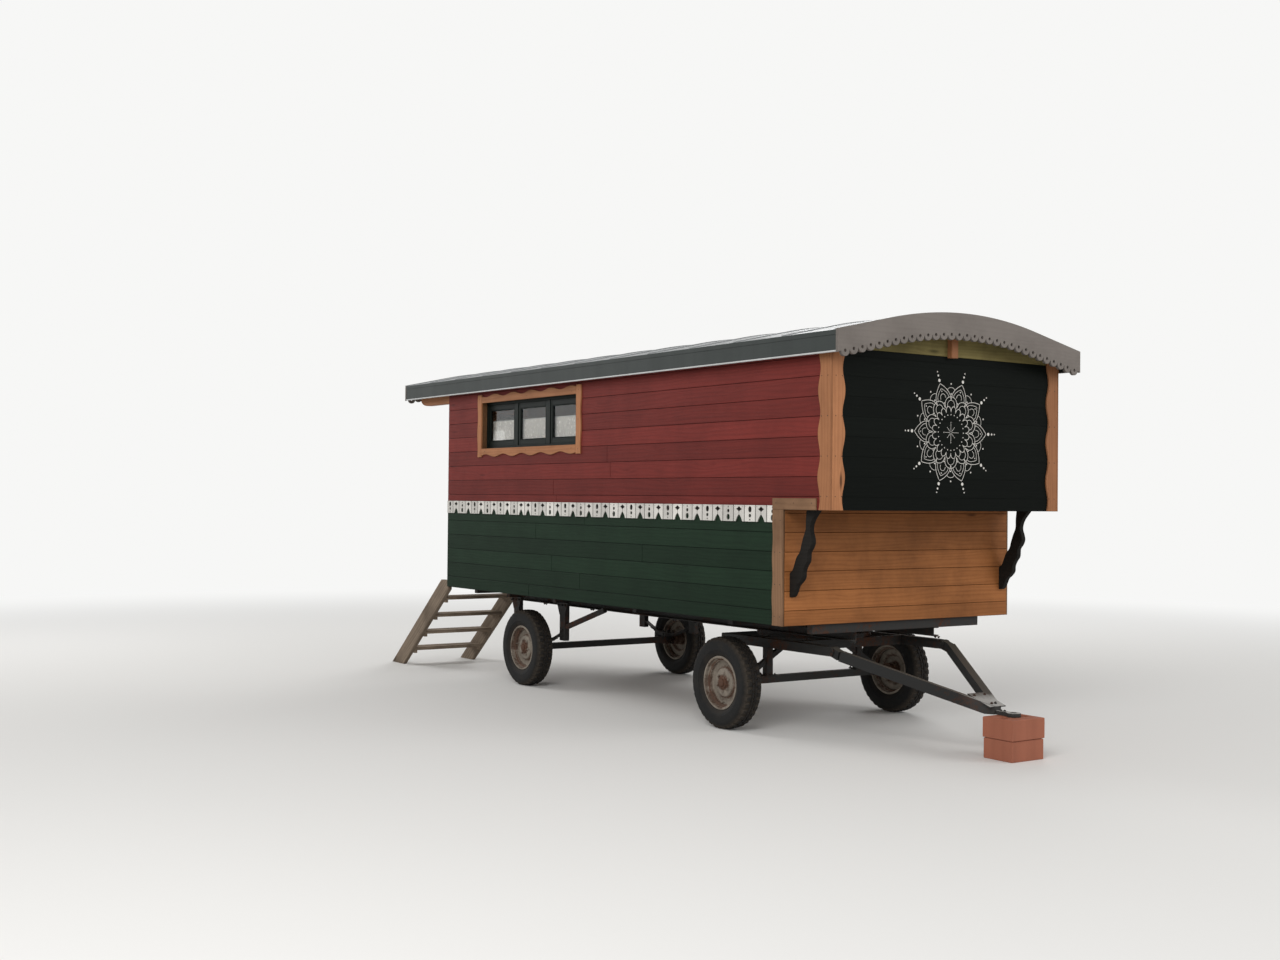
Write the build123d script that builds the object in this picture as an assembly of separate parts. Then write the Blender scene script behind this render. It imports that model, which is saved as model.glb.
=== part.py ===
import os
from math import atan2, cos, degrees, hypot, radians, sin, tan

from build123d import *

os.makedirs("parts", exist_ok=True)

# Living wagon on a turntable farm chassis. Millimetres, +X towards the drawbar, +Z up,
# ground at zero. The origin lies under the middle of the overall length.

# Body
body_width = 2450            # over the corner boards
board_thick = 18             # corner boards and window boards stand out by this
lower_length = 5460          # front wall to rear wall, outer faces
alcove_depth = 505           # the upper body stands out in front by this
wall_thick = 100
wall_bottom = 915            # underside of the walls above the ground
alcove_bottom = 1784         # underside of the bed alcove
floor_thick = 85
alcove_floor_thick = 76

# Roof, a shallow crown between two straight slopes
roof_side = 94               # eave past the side walls
eave_top = 3071
roof_angle = 12.5            # slope of the straight parts, degrees
crown_half = 764             # half width of the curved crown
roof_thick = 40
roof_front = 172             # past the upper front wall
roof_rear = 882              # past the rear wall
fascia_bottom = 2911
side_fascia_thick = 20
end_fascia_thick = 25
end_fascia_depth = 165       # down to the centres of the lobes
lobe_radius = 41
lobe_pitch = 82
lobe_hole_radius = 12
fascia_cut = 400             # reach of the shapes that trim roof pieces, past what they trim
purlin_width = 80
purlin_depth = 120
plate_width = 60             # eave plate that carries the porch roof
plate_depth = 216
plate_reach = 680
plate_toe = (160, 70)        # run and rise of its rounded end

# Windows, one in each long side
window_rear = 4730           # rear edge of the opening behind the front wall
window_length = 1815
window_bottom = 2335
window_height = 475
window_recess = 50
sash_thick = 45
sash_stile = 63
sash_rail = 82
light_count = 3
pane_thick = 6
architrave_width = 85
reveal_margin = 8            # the window boards stand back from the opening's edge
curtain_height = 216
curtain_thick = 8
curtain_lap = 20             # past the glass on either side
curtain_drop = 10            # below the glass

# Rear door and its frame
door_side = 87               # wall left beside the door, on the right
door_opening = 800
door_top = 2800
jamb = 40
sill = 30
door_gap = 4
door_thick = 45
stop_width = 15
stop_thick = 20
door_light_width = 360
door_light_height = 620
door_light_top = 180         # below the leaf's upper edge
strap_length = 420
strap_width = 40
strap_thick = 6
pin_radius = 5
pin_clearance = 0.3
eye_radius = 10
hinge_set_in = 2             # hinge axis inside the jamb's edge
hinge_seat = 22              # height of the frame's half of each hinge
strap_heights = (1250, 2550)
handle_height = 1000         # above the floor
handle_backset = 60
handle_plate = (40, 180, 5)
handle_stem_radius = 9
handle_grip = (120, 20, 14)
handle_stand = 48            # door face to grip

# Trim
fret_bottom = 1688
fret_top = 1815
fret_thick = 15
fret_pitch = 133             # planks of the band, about
fret_double = 12             # the turns shift here, where two notched planks are neighbours
fret_slit = 5                # between two planks
fret_slit_depth = 10
fret_holes = ((32, 23), (80, 14), (112, 6.5))   # drop below the upper edge, radius
star_drop = 31
star_half = 23
star_reach = 34              # half of its length along the band
star_waist = 14
notch_half = 42
notch_height = 56
corner_board = 124
corner_wave = 14             # swing of a board's wavy edge to either side
corner_wave_pitch = 305
lower_wave = 4
trim_gap = 2                 # under the roof
alcove_trim = 86
window_wave = 14
window_wave_pitch = 370
stile_wave = 6
bracket_thick = 45
bracket_inset = 50           # from the wall's outer face to the bracket
bracket_foot = 1130
bracket_reach = 330
bracket_width = 62
bracket_lobes = ((0.06, 46), (0.34, 52), (0.62, 56), (0.92, 60))   # share of its length, radius
bracket_pad = 30
bracket_pad_length = 150
bracket_pad_lap = 20         # head pad past the reach

# Rear steps
step_count = 4
step_slope = 39.6
step_inset = 7               # right stringer inside the side wall
step_width = 900
stringer_thick = 45
stringer_depth = 180
tread_thick = 35
tread_depth = 220
step_set_down = 20           # stringers' upper end below the floor

# Chassis
rail_spread = 900            # centre to centre
rail_width = 60
rail_depth = 75
cross_inset = 307            # cross beams' ends inside the side walls
cross_width = 60
cross_depth = 75
flange_thick = 10
web_thick = 8
brace_flat = 50              # flat bars that cross between the rails
brace_flat_thick = 10
brace_corner = 40            # their ends' distance from each cross beam

# Running gear
wheelbase = 3215
front_axle_back = 1040       # behind the lower front wall
track = 1865
tyre_radius = 372.5
tyre_width = 185
tread_width = 132
tyre_bulge = 318             # radius of the tyre's widest part
bead_radius = 205
flange_radius = 217
rim_width = 140
rim_wall = 6
hub_radius = 60
disc_thick = 8
disc_face = 30               # outer face of the disc at the hub, from the wheel's middle
disc_back = 0                # and where it meets the barrel
disc_flat = 110              # radius at which the disc turns back
disc_foot = 134              # radius at which it is flat again
hub_face = 60
hub_back = 82
hub_bolt_circle = 150
hub_bolts = 6
bolt_radius = 9
bolt_stand = 14
spindle_radius = 22.5
spindle_gap = 2              # spindle's end to the bottom of its bore
axle_size = 60
axle_end_gap = 40            # beam end to the tyre's inner side
spring_inset = 60            # spring's middle to the tyre's inner side
spring_half = 450
spring_width = 50
spring_thick = 40
hanger_width = 100
hanger_thick = 50
hanger_bottom = 470
spring_lift = 30             # spring's ends above the hangers' feet
stay_width = 40
stay_depth = 45
stay_run = 720
stay_foot = 120              # above the hanger's foot
stay_head = 25               # below the cross beams

# Turntable and drawbar
ring_radius = 480
ring_width = 50
ring_thick = 20
bearing_gap = 0.3
kingpin_radius = 20
kingpin_tail = 20
bolster_width = 80
bogie_half = 600
bogie_width = 60
bogie_depth = 75
bogie_rear = 460             # behind the front axle
drawbar_pivot = 920          # ahead of the front axle
drawbar_width = 60
drawbar_depth = 80
boss_radius = 38
boss_gap = 10                # boss to the root of the cheeks
cheek_thick = 12
cheek_radius = 35
cheek_length = 120
leg_inset = 100              # legs to the axle, in from the side members
pin_tail = 10
neck_drop = 10               # neck shallower than the arms by this
neck_length = 80             # straight stretch of each arm ahead of its pin
brace_size = 40
brace_inset = 110            # foot of the slanting brace, in from the tyre
brace_head = 250
hinge_pin_radius = 14
side_gap = 0.5
eye_ahead = 1150             # towing eye ahead of the lower front wall
tow_eye_radius = 52
tow_bore_radius = 25
tow_eye_thick = 30
shank_width = 46
shank_length = 150
shank_lap = 17               # into the ring
gusset_thick = 8
gusset_length = 220
gusset_width = 170
block_length = 340
block_width = 280
block_height = 300
block_core = 80
rest_gap = 0.3

# Derived places
half_wall = body_width / 2 - board_thick
inner_half = half_wall - wall_thick
outer_face = half_wall + board_thick
cross_half = half_wall - cross_inset
door_centre = -(half_wall - door_side - door_opening / 2)
step_outer = half_wall - step_inset
spring_centre = track / 2 - tyre_width / 2 - spring_inset
roof_half = half_wall + roof_side
slope = tan(radians(roof_angle))
crown_radius = crown_half / sin(radians(roof_angle))
crown_edge = eave_top + (roof_half - crown_half) * slope
crown_centre = crown_edge - crown_radius * cos(radians(roof_angle))
floor_top = wall_bottom + floor_thick
cross_bottom = wall_bottom - cross_depth
rail_bottom = cross_bottom - rail_depth
hub_height = tyre_radius
step_run = floor_top / tan(radians(step_slope))
stringer_reach = stringer_depth / 2 / sin(radians(step_slope))
rear_reach = lower_length + step_run + stringer_reach
front_reach = eye_ahead + block_width / 2
x_front = (rear_reach - front_reach) / 2
x_rear = x_front - lower_length
x_upper = x_front + alcove_depth
x_roof_front = x_upper + roof_front
x_roof_rear = x_rear - roof_rear
x_front_axle = x_front - front_axle_back
x_rear_axle = x_front_axle - wheelbase
x_eye = x_front + eye_ahead
eye_height = block_height + rest_gap + tow_eye_thick / 2


def slab(x, y, z):
    # A box between the limits (low, high) on each axis.
    limits = (x, y, z)
    centre = [(low + high) / 2 for low, high in limits]
    return Pos(*centre) * Box(*[high - low for low, high in limits])


def rod(axis, radius, centre, length):
    # A cylinder along X, Y or Z about its centre point.
    turn = {"X": Rot(0, 90, 0), "Y": Rot(90, 0, 0), "Z": Rot(0, 0, 0)}[axis]
    return Pos(*centre) * turn * Cylinder(radius, length)


def both_sides(shape):
    return [shape, mirror(shape, about=Plane.XZ)]


def side_span(low, high, side):
    # Limits across the wagon for one side, -1 on the right and 1 on the left.
    return (low, high) if side > 0 else (-high, -low)


def node(parts):
    # Solids that belong to one node, kept apart.
    solids = [solid for part in parts for solid in part.solids()]
    return solids[0] if len(solids) == 1 else Compound(children=solids)


def roof_line(depth, across):
    # Height of the line that lies this far below the roof's top, measured square to it.
    radius = crown_radius - depth
    edge = radius * sin(radians(roof_angle))
    if abs(across) < edge:
        return crown_centre + (radius ** 2 - across ** 2) ** 0.5
    return crown_centre + radius * cos(radians(roof_angle)) - (abs(across) - edge) * slope


def under_roof(depth, half, bottom, x):
    # Everything under that line, between two heights along the wagon.
    edge = (crown_radius - depth) * sin(radians(roof_angle))
    left = [(-half, bottom), (-half, roof_line(depth, half)), (-edge, roof_line(depth, edge))]
    right = [(y, z) for y, z in ((-p[0], p[1]) for p in reversed(left))]
    outline = Polyline(*left) + ThreePointArc(left[-1], (0, roof_line(depth, 0)), right[0])
    outline += Polyline(*right) + Line(right[-1], left[0])
    face = make_face(Plane.YZ.offset(x[0]) * outline)
    return extrude(face, amount=x[1] - x[0], dir=(1, 0, 0))


def wavy_board(length, width, pitch, swing, thick):
    # A board along X from a straight edge on y = 0 to a wavy one that reaches its width.
    mean = width - swing
    lobes = max(1, round(length / pitch))
    step = length / lobes / 2
    outline = Polyline((0, mean), (0, 0), (length, 0), (length, mean))
    for k in range(2 * lobes):
        crest = mean + swing * (1 if k % 2 else -1)
        outline += ThreePointArc((k * step, mean), ((k + 0.5) * step, crest), ((k + 1) * step, mean))
    return extrude(make_face(outline), amount=thick)


def laid(shape, origin, along, across):
    # A shape made on the XY plane, set at a place by the directions of its X and Y.
    normal = Vector(*along).cross(Vector(*across))
    return Plane(origin=origin, x_dir=along, z_dir=tuple(normal)) * shape


def channel(x, y, z, open_side):
    # Rolled channel along X, its back away from open_side.
    body = slab(x, y, z)
    inner_y = (y[0] + web_thick, y[1] + 1) if open_side > 0 else (y[0] - 1, y[1] - web_thick)
    return body - slab((x[0] - 1, x[1] + 1), inner_y, (z[0] + flange_thick, z[1] - flange_thick))


def beam_between(start, end, width, depth):
    # Square-ended beam from one point to another, its depth in the vertical plane.
    run = Vector(*end) - Vector(*start)
    yaw = degrees(atan2(run.Y, run.X))
    pitch = degrees(atan2(run.Z, hypot(run.X, run.Y)))
    middle = (Vector(*start) + Vector(*end)) / 2
    return Pos(*middle) * Rot(0, 0, yaw) * Rot(0, -pitch, 0) * Box(run.length, width, depth)


# Chassis
def chassis_rails():
    half = rail_spread / 2
    x = (x_rear + cross_width, x_front - cross_width)
    y = (half - rail_width / 2, half + rail_width / 2)
    return both_sides(channel(x, y, (rail_bottom, cross_bottom), 1))


def cross_places():
    # Distances of the cross beams behind the lower front wall.
    rear_axle_back = front_axle_back + wheelbase
    ends = (cross_width, lower_length - cross_width)
    hangers = (rear_axle_back - spring_half, rear_axle_back + spring_half)
    middle = (front_axle_back + hangers[0]) / 2
    return (ends[0], front_axle_back, middle, hangers[0], hangers[1], ends[1])


def chassis_cross_beams():
    beams = []
    for back in cross_places():
        x = (x_front - back - cross_width / 2, x_front - back + cross_width / 2)
        beams.append(slab(x, (-cross_half, cross_half), (cross_bottom, wall_bottom)))
    return beams


def plan_braces():
    # Two flat bars cross between the rails in each long bay.
    half = (rail_spread - rail_width) / 2
    places = cross_places()
    keep_z = (cross_bottom - brace_flat_thick, cross_bottom)
    parts = []
    for start, end in ((1, 2), (2, 3), (4, 5)):
        x = (x_front - places[end] + brace_corner, x_front - places[start] - brace_corner)
        reach = Vector(x[1] - x[0], 2 * half, 0) * (brace_flat / (2 * half))
        cross = None
        for side in (-1, 1):
            low = (x[0] - reach.X, side * (half + reach.Y), sum(keep_z) / 2)
            high = (x[1] + reach.X, -side * (half + reach.Y), sum(keep_z) / 2)
            bar = beam_between(low, high, brace_flat, brace_flat_thick)
            cross = bar if cross is None else cross + bar
        parts.append(cross & slab((x[0] - 2 * reach.X, x[1] + 2 * reach.X), (-half, half), keep_z))
    return parts


# Rear axle
def axle_beam(x):
    end = track / 2 - tyre_width / 2 - axle_end_gap
    beam = slab((x - axle_size / 2, x + axle_size / 2), (-end, end),
                (hub_height - axle_size / 2, hub_height + axle_size / 2))
    spindle = rod("Y", spindle_radius, (x, 0, hub_height), track + rim_width / 2)
    return [beam + spindle]


def rear_hangers():
    # Posts from the cross beams to the springs' ends, with a stay to the rail in front.
    parts = []
    for side in (-1, 1):
        y = side_span(spring_centre - hanger_thick / 2, spring_centre + hanger_thick / 2, side)
        for end in (-1, 1):
            x = x_rear_axle + end * spring_half
            span = (x - hanger_width / 2, x + hanger_width / 2)
            parts.append(slab(span, y, (hanger_bottom, cross_bottom)))
        foot = (x_rear_axle + spring_half, side * spring_centre, hanger_bottom + stay_foot)
        head = (foot[0] + stay_run, side * spring_centre, cross_bottom - stay_head)
        parts.append(beam_between(foot, head, stay_width, stay_depth))
    return parts


def rear_springs():
    # Each pack of leaves is one arc from hanger to hanger, resting on the axle.
    low = hub_height + axle_size / 2
    sag = hanger_bottom + spring_lift - low
    half = spring_half - hanger_width / 2
    parts = []
    for side in (-1, 1):
        lower = ThreePointArc((-half, low + sag), (0, low), (half, low + sag))
        upper_z = low + sag + spring_thick
        upper = ThreePointArc((half, upper_z), (0, low + spring_thick), (-half, upper_z))
        outline = lower + Line((half, low + sag), (half, upper_z)) + upper
        outline += Line((-half, upper_z), (-half, low + sag))
        face = make_face(Plane.XZ * outline)
        pack = extrude(face, amount=spring_width / 2, both=True)
        parts.append(Pos(x_rear_axle, side * spring_centre, 0) * pack)
    return parts


# Turntable
def ring(z):
    flat = rod("Z", ring_radius, (x_front_axle, 0, z + ring_thick / 2), ring_thick)
    return flat - rod("Z", ring_radius - ring_width, (x_front_axle, 0, z + ring_thick / 2),
                      ring_thick)


def turntable_upper():
    z = rail_bottom - ring_thick
    spoke = slab((x_front_axle - bolster_width / 2, x_front_axle + bolster_width / 2),
                 (-ring_radius + ring_width / 2, ring_radius - ring_width / 2), (z, rail_bottom))
    pin_bottom = z - bearing_gap - ring_thick - bogie_depth - kingpin_tail
    pin = rod("Z", kingpin_radius, (x_front_axle, 0, (pin_bottom + rail_bottom) / 2),
              rail_bottom - pin_bottom)
    return [ring(z) + spoke + pin]


def bogie_top():
    return rail_bottom - 2 * ring_thick - bearing_gap


def turntable_lower():
    return [ring(bogie_top())]


def bogie_frame():
    # Two side members under the turntable, three cross members and the legs to the axle.
    top = bogie_top()
    z = (top - bogie_depth, top)
    y = (bogie_half - bogie_width / 2, bogie_half + bogie_width / 2)
    pivot = x_front_axle + drawbar_pivot
    cheek_root = pivot - boss_radius - boss_gap
    half = bogie_width / 2
    frame = slab((x_front_axle - bolster_width / 2, x_front_axle + bolster_width / 2),
                 (-bogie_half, bogie_half), z)
    for x in (x_front_axle - bogie_rear + half, x_front_axle + bogie_rear - half):
        frame += slab((x - half, x + half), (-bogie_half, bogie_half), z)
    for side in (-1, 1):
        frame += slab((x_front_axle - bogie_rear, cheek_root), side_span(y[0], y[1], side), z)
        for face in (-1, 1):
            inner = bogie_half + face * (bogie_width / 2 + side_gap + cheek_thick / 2)
            span = side_span(inner - cheek_thick / 2, inner + cheek_thick / 2, side)
            middle = (z[0] + z[1]) / 2
            frame += slab((cheek_root - cheek_length, pivot), span,
                          (middle - cheek_radius, middle + cheek_radius))
            frame += rod("Y", cheek_radius, (pivot, (span[0] + span[1]) / 2, middle), cheek_thick)
            filler = side_span(bogie_half - bogie_width / 2 - side_gap,
                               bogie_half + bogie_width / 2 + side_gap, side)
            frame += slab((cheek_root - cheek_length, cheek_root), filler,
                          (middle - cheek_radius, middle + cheek_radius))
        frame += rod("Y", hinge_pin_radius, (pivot, side * bogie_half, (z[0] + z[1]) / 2),
                     bogie_width + 2 * (side_gap + cheek_thick + pin_tail))
        leg_y = side_span(bogie_half - leg_inset - half, bogie_half - leg_inset + half, side)
        frame += slab((x_front_axle - half, x_front_axle + half), leg_y,
                      (hub_height + axle_size / 2, z[0]))
    axle_top = hub_height + axle_size / 2
    for side in (-1, 1):
        low = (x_front_axle, side * (track / 2 - tyre_width / 2 - brace_inset), axle_top)
        high = (x_front_axle, side * brace_head, z[0] + brace_size)
        frame += beam_between(low, high, brace_size, brace_size)
    frame -= slab((x_front_axle - bogie_rear, x_front_axle + bogie_rear), (-track, track),
                  (0, axle_top))
    frame -= slab((x_front_axle - bogie_rear, x_front_axle + bogie_rear), (-track, track),
                  (top, 2 * top))
    frame -= rod("Z", kingpin_radius + pin_clearance, (x_front_axle, 0, top), 4 * bogie_depth)
    return [frame]


# Drawbar
def pivot_height():
    return bogie_top() - bogie_depth / 2


def drawbar_fall():
    # Slope of the drawbar from its pins down to the eye's shank.
    length = x_eye - shank_length - (x_front_axle + drawbar_pivot)
    return (pivot_height() - eye_height) / length


def drawbar_arms():
    # Two arms from the hinge pins to the shank, with a gusset plate over their joint.
    pivot_x = x_front_axle + drawbar_pivot
    tip = (x_eye - shank_length, 0, eye_height)
    neck_fall = neck_length * drawbar_fall()
    arms = beam_between((tip[0] - gusset_length, 0, tip[2] + gusset_length * drawbar_fall()), tip,
                        gusset_width, gusset_thick)
    arms = Pos(0, 0, drawbar_depth / 2) * arms
    for side in (-1, 1):
        pivot = (pivot_x, side * bogie_half, pivot_height())
        bend = (pivot_x + neck_length, side * bogie_half, pivot_height() - neck_fall)
        arms += rod("Y", boss_radius, pivot, bogie_width)
        arms += beam_between(pivot, bend, bogie_width, drawbar_depth - neck_drop)
        arms += beam_between(bend, tip, drawbar_width, drawbar_depth)
    for side in (-1, 1):
        pivot = (pivot_x, side * bogie_half, pivot_height())
        arms -= rod("Y", hinge_pin_radius + pin_clearance, pivot, 2 * bogie_width)
    arms -= slab((x_eye - block_width, x_eye + block_width), (-block_length, block_length),
                 (0, eye_height - tow_eye_thick / 2))
    arms -= slab((x_eye - shank_length, x_eye + block_width), (-block_length, block_length),
                 (0, 2 * eye_height))
    return [arms]


def towing_eye():
    half = tow_eye_thick / 2
    z = (eye_height - half, eye_height + half)
    shank = slab((x_eye - shank_length, x_eye - tow_eye_radius + shank_lap),
                 (-shank_width / 2, shank_width / 2), z)
    eye = rod("Z", tow_eye_radius, (x_eye, 0, eye_height), tow_eye_thick) + shank
    return [eye - rod("Z", tow_bore_radius, (x_eye, 0, eye_height), 2 * tow_eye_thick)]


def support_block():
    x = (x_eye - block_width / 2, x_eye + block_width / 2)
    body = slab(x, (-block_length / 2, block_length / 2), (0, block_height))
    half = block_core / 2
    return [body - slab((x_eye - half, x_eye + half), (-half, half), (-1, block_height + 1))]


# Wheels
def wheel_places():
    # Name, axle and side of each wheel.
    return (("front_right", x_front_axle, -1), ("front_left", x_front_axle, 1),
            ("rear_right", x_rear_axle, -1), ("rear_left", x_rear_axle, 1))


def placed(shape, x, side):
    # A wheel part made about the Z axis with its outer face up, set on its axle.
    return Pos(x, side * track / 2, hub_height) * Rot(-90 * side, 0, 0) * shape


def tyre_section():
    # Half of the section, from bead seat to tread: radius, distance from the middle.
    bead = rim_width / 2 - rim_wall - rest_gap
    half = ((bead_radius, bead), (flange_radius + rest_gap, bead), (tyre_bulge, tyre_width / 2),
            (tyre_radius, tread_width / 2))
    return Polyline(*half, *[(radius, -side) for radius, side in reversed(half)], close=True)


def tyre():
    return revolve(make_face(Plane.XZ * tyre_section()), axis=Axis.Z)


def rim():
    # Barrel with two flanges, a dished disc and a closed hub.
    half = rim_width / 2
    seat = bead_radius - rest_gap
    barrel = [(seat - rim_wall, -half), (flange_radius, -half), (flange_radius, -half + rim_wall),
              (seat, -half + rim_wall), (seat, half - rim_wall), (flange_radius, half - rim_wall),
              (flange_radius, half), (seat - rim_wall, half)]
    centre_line = [(hub_radius / 2, disc_face), (disc_flat, disc_face), (disc_foot, disc_back),
                   (seat - rim_wall / 2, disc_back)]
    disc = [(radius, side - disc_thick) for radius, side in centre_line]
    disc += reversed(centre_line)
    shape = revolve(make_face(Plane.XZ * Polyline(*barrel, close=True)), axis=Axis.Z)
    shape += revolve(make_face(Plane.XZ * Polyline(*disc, close=True)), axis=Axis.Z)
    shape += Pos(0, 0, (hub_face - hub_back) / 2) * Cylinder(hub_radius, hub_face + hub_back)
    for k in range(hub_bolts):
        angle = radians(360 * k / hub_bolts)
        place = Pos(hub_bolt_circle / 2 * cos(angle), hub_bolt_circle / 2 * sin(angle),
                    disc_face + (bolt_stand - disc_thick) / 2)
        shape += place * Cylinder(bolt_radius, bolt_stand + disc_thick)
    bore_top = rim_width / 4 + spindle_gap
    bore_bottom = -2 * hub_back
    return shape - Pos(0, 0, (bore_top + bore_bottom) / 2) * Cylinder(spindle_radius + pin_clearance,
                                                                      bore_top - bore_bottom)


# Floor and walls
def window_span():
    rear = x_front - window_rear
    return (rear, rear + window_length), (window_bottom, window_bottom + window_height)


def floor():
    x = (x_rear + wall_thick, x_front - wall_thick)
    return [slab(x, (-inner_half, inner_half), (wall_bottom, floor_top))]


def lower_side(side):
    x = (x_rear + wall_thick, x_front - wall_thick)
    return [slab(x, side_span(inner_half, half_wall, side), (wall_bottom, alcove_bottom))]


def lower_wall_front():
    x = (x_front - wall_thick, x_front)
    return [slab(x, (-half_wall, half_wall), (wall_bottom, alcove_bottom))]


def door_hole():
    y = (door_centre - door_opening / 2, door_centre + door_opening / 2)
    return y, (floor_top, door_top)


def rear_wall_lower():
    x = (x_rear, x_rear + wall_thick)
    wall = slab(x, (-half_wall, half_wall), (wall_bottom, alcove_bottom))
    y, z = door_hole()
    return [wall - slab((x_rear - 1, x_rear + wall_thick + 1), y, z)]


def rear_wall_upper():
    x = (x_rear, x_rear + wall_thick)
    wall = under_roof(roof_thick, half_wall, alcove_bottom, x)
    y, z = door_hole()
    return [wall - slab((x_rear - 1, x_rear + wall_thick + 1), y, z)]


def upper_side(side):
    x = (x_rear + wall_thick, x_upper - wall_thick)
    wall = under_roof(roof_thick, half_wall, alcove_bottom, x)
    wall &= slab(x, side_span(inner_half, half_wall, side), (alcove_bottom, eave_top + fascia_cut))
    hole_x, hole_z = window_span()
    return [wall - slab(hole_x, (-half_wall - 1, half_wall + 1), hole_z)]


def upper_wall_front():
    return [under_roof(roof_thick, half_wall, alcove_bottom, (x_upper - wall_thick, x_upper))]


def alcove_floor():
    x = (x_front - wall_thick, x_upper - wall_thick)
    return [slab(x, (-inner_half, inner_half), (alcove_bottom, alcove_bottom + alcove_floor_thick))]


# Roof
def roof_span():
    return x_roof_rear + end_fascia_thick, x_roof_front - end_fascia_thick


def roof_shell():
    x = roof_span()
    whole = under_roof(0, roof_half, fascia_bottom, x)
    return [whole - under_roof(roof_thick, roof_half + 1, fascia_bottom - 1, x)]


def side_fascias():
    x = roof_span()
    edge = under_roof(roof_thick, roof_half, fascia_bottom, x)
    keep = slab(x, (roof_half - side_fascia_thick, roof_half), (fascia_bottom, eave_top))
    return both_sides(edge & keep)


def end_fascia(x):
    # An arched board with a scalloped lower edge, a small hole in each lobe.
    span = (x, x + end_fascia_thick)
    low = fascia_bottom - fascia_cut
    board = under_roof(0, roof_half, low, span)
    board -= under_roof(end_fascia_depth, roof_half + 1, low - 1, span)
    middle = x + end_fascia_thick / 2
    count = int((roof_half - lobe_radius) / lobe_pitch)
    places = [(k * lobe_pitch, roof_line(end_fascia_depth, k * lobe_pitch))
              for k in range(-count, count + 1)]
    lobes = [rod("X", lobe_radius, (middle, y, z), end_fascia_thick) for y, z in places]
    holes = [rod("X", lobe_hole_radius, (middle, y, z), 2 * end_fascia_thick) for y, z in places]
    return [board + lobes - holes]


def roof_purlins():
    # Ridge ends under both overhangs, and the eave plates that carry the porch roof.
    parts = []
    low = roof_line(roof_thick, 0) - purlin_depth
    for x in ((x_roof_rear + end_fascia_thick, x_rear), (x_upper, x_roof_front - end_fascia_thick)):
        ridge = slab(x, (-purlin_width / 2, purlin_width / 2), (low, low + 2 * purlin_depth))
        parts.append(under_roof(roof_thick, roof_half, low - purlin_depth, x) & ridge)
    x = (x_rear - plate_reach, x_rear)
    foot = roof_line(roof_thick, half_wall) - plate_depth
    run, rise = plate_toe
    toe = ThreePointArc((x[0], foot + rise), (x[0] + run * 0.3, foot + rise * 0.3), (x[0] + run, foot))
    outline = toe + Polyline(toe @ 1, (x[1], foot), (x[1], eave_top), (x[0], eave_top), toe @ 0)
    side = extrude(make_face(Plane.XZ * outline), amount=half_wall, both=True)
    plate = under_roof(roof_thick, half_wall, foot, x) & side
    plate &= slab(x, (half_wall - plate_width, half_wall), (foot, eave_top + fascia_cut))
    parts += both_sides(plate)
    return parts


# Trim
def star():
    # Four-pointed hole with hollow sides.
    points = [(star_reach, 0), (0, star_half), (-star_reach, 0), (0, -star_half)]
    outline = None
    for k in range(4):
        waist = (star_waist * cos(radians(90 * k + 45)), star_waist * sin(radians(90 * k + 45)))
        arc = ThreePointArc(points[k], waist, points[(k + 1) % 4])
        outline = arc if outline is None else outline + arc
    return make_face(outline)


def notch():
    # Pointed arch that leaves a plank on two legs.
    side = (notch_half * 0.8, notch_height * 0.45)
    outline = ThreePointArc((-notch_half, 0), (-side[0], side[1]), (0, notch_height))
    outline += ThreePointArc((0, notch_height), side, (notch_half, 0))
    outline += Line((notch_half, 0), (-notch_half, 0))
    return make_face(outline)


def fret_bands():
    # Planks side by side, cut by turns: a star over a notch, joined by a slit, or three holes that
    # shrink or grow downwards. The last plank shows by half.
    start = x_rear
    length = x_front - corner_board - x_rear
    height = fret_top - fret_bottom
    count = round(length / fret_pitch)
    pitch = length / (count - 0.5)
    slit_foot = notch_height - fret_slit
    slit_top = height - star_drop
    cuts = []
    growing = False
    for k in range(count):
        middle = (k + 0.5) * pitch
        if (k % 2 == 1) == (k < fret_double):
            cuts.append(Pos(middle, slit_top) * star())
            cuts.append(Pos(middle, 0) * notch())
            cuts.append(Pos(middle, (slit_foot + slit_top) / 2) * Rectangle(fret_slit, slit_top - slit_foot))
            continue
        for drop, radius in fret_holes:
            place = drop if growing else height - drop
            cuts.append(Pos(middle, place) * Circle(radius))
        growing = not growing
    face = Pos(length / 2, height / 2) * Rectangle(length, height) - cuts
    band = laid(extrude(face, amount=-fret_thick), (start, half_wall, fret_bottom), (1, 0, 0), (0, 0, 1))
    slit_y = (half_wall + fret_thick - fret_slit_depth, half_wall + 2 * fret_thick)
    slits = [slab((start + k * pitch - fret_slit / 2, start + k * pitch + fret_slit / 2), slit_y,
                  (fret_bottom - fret_slit, fret_top + fret_slit)) for k in range(1, count)]
    return both_sides(band - slits)


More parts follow.
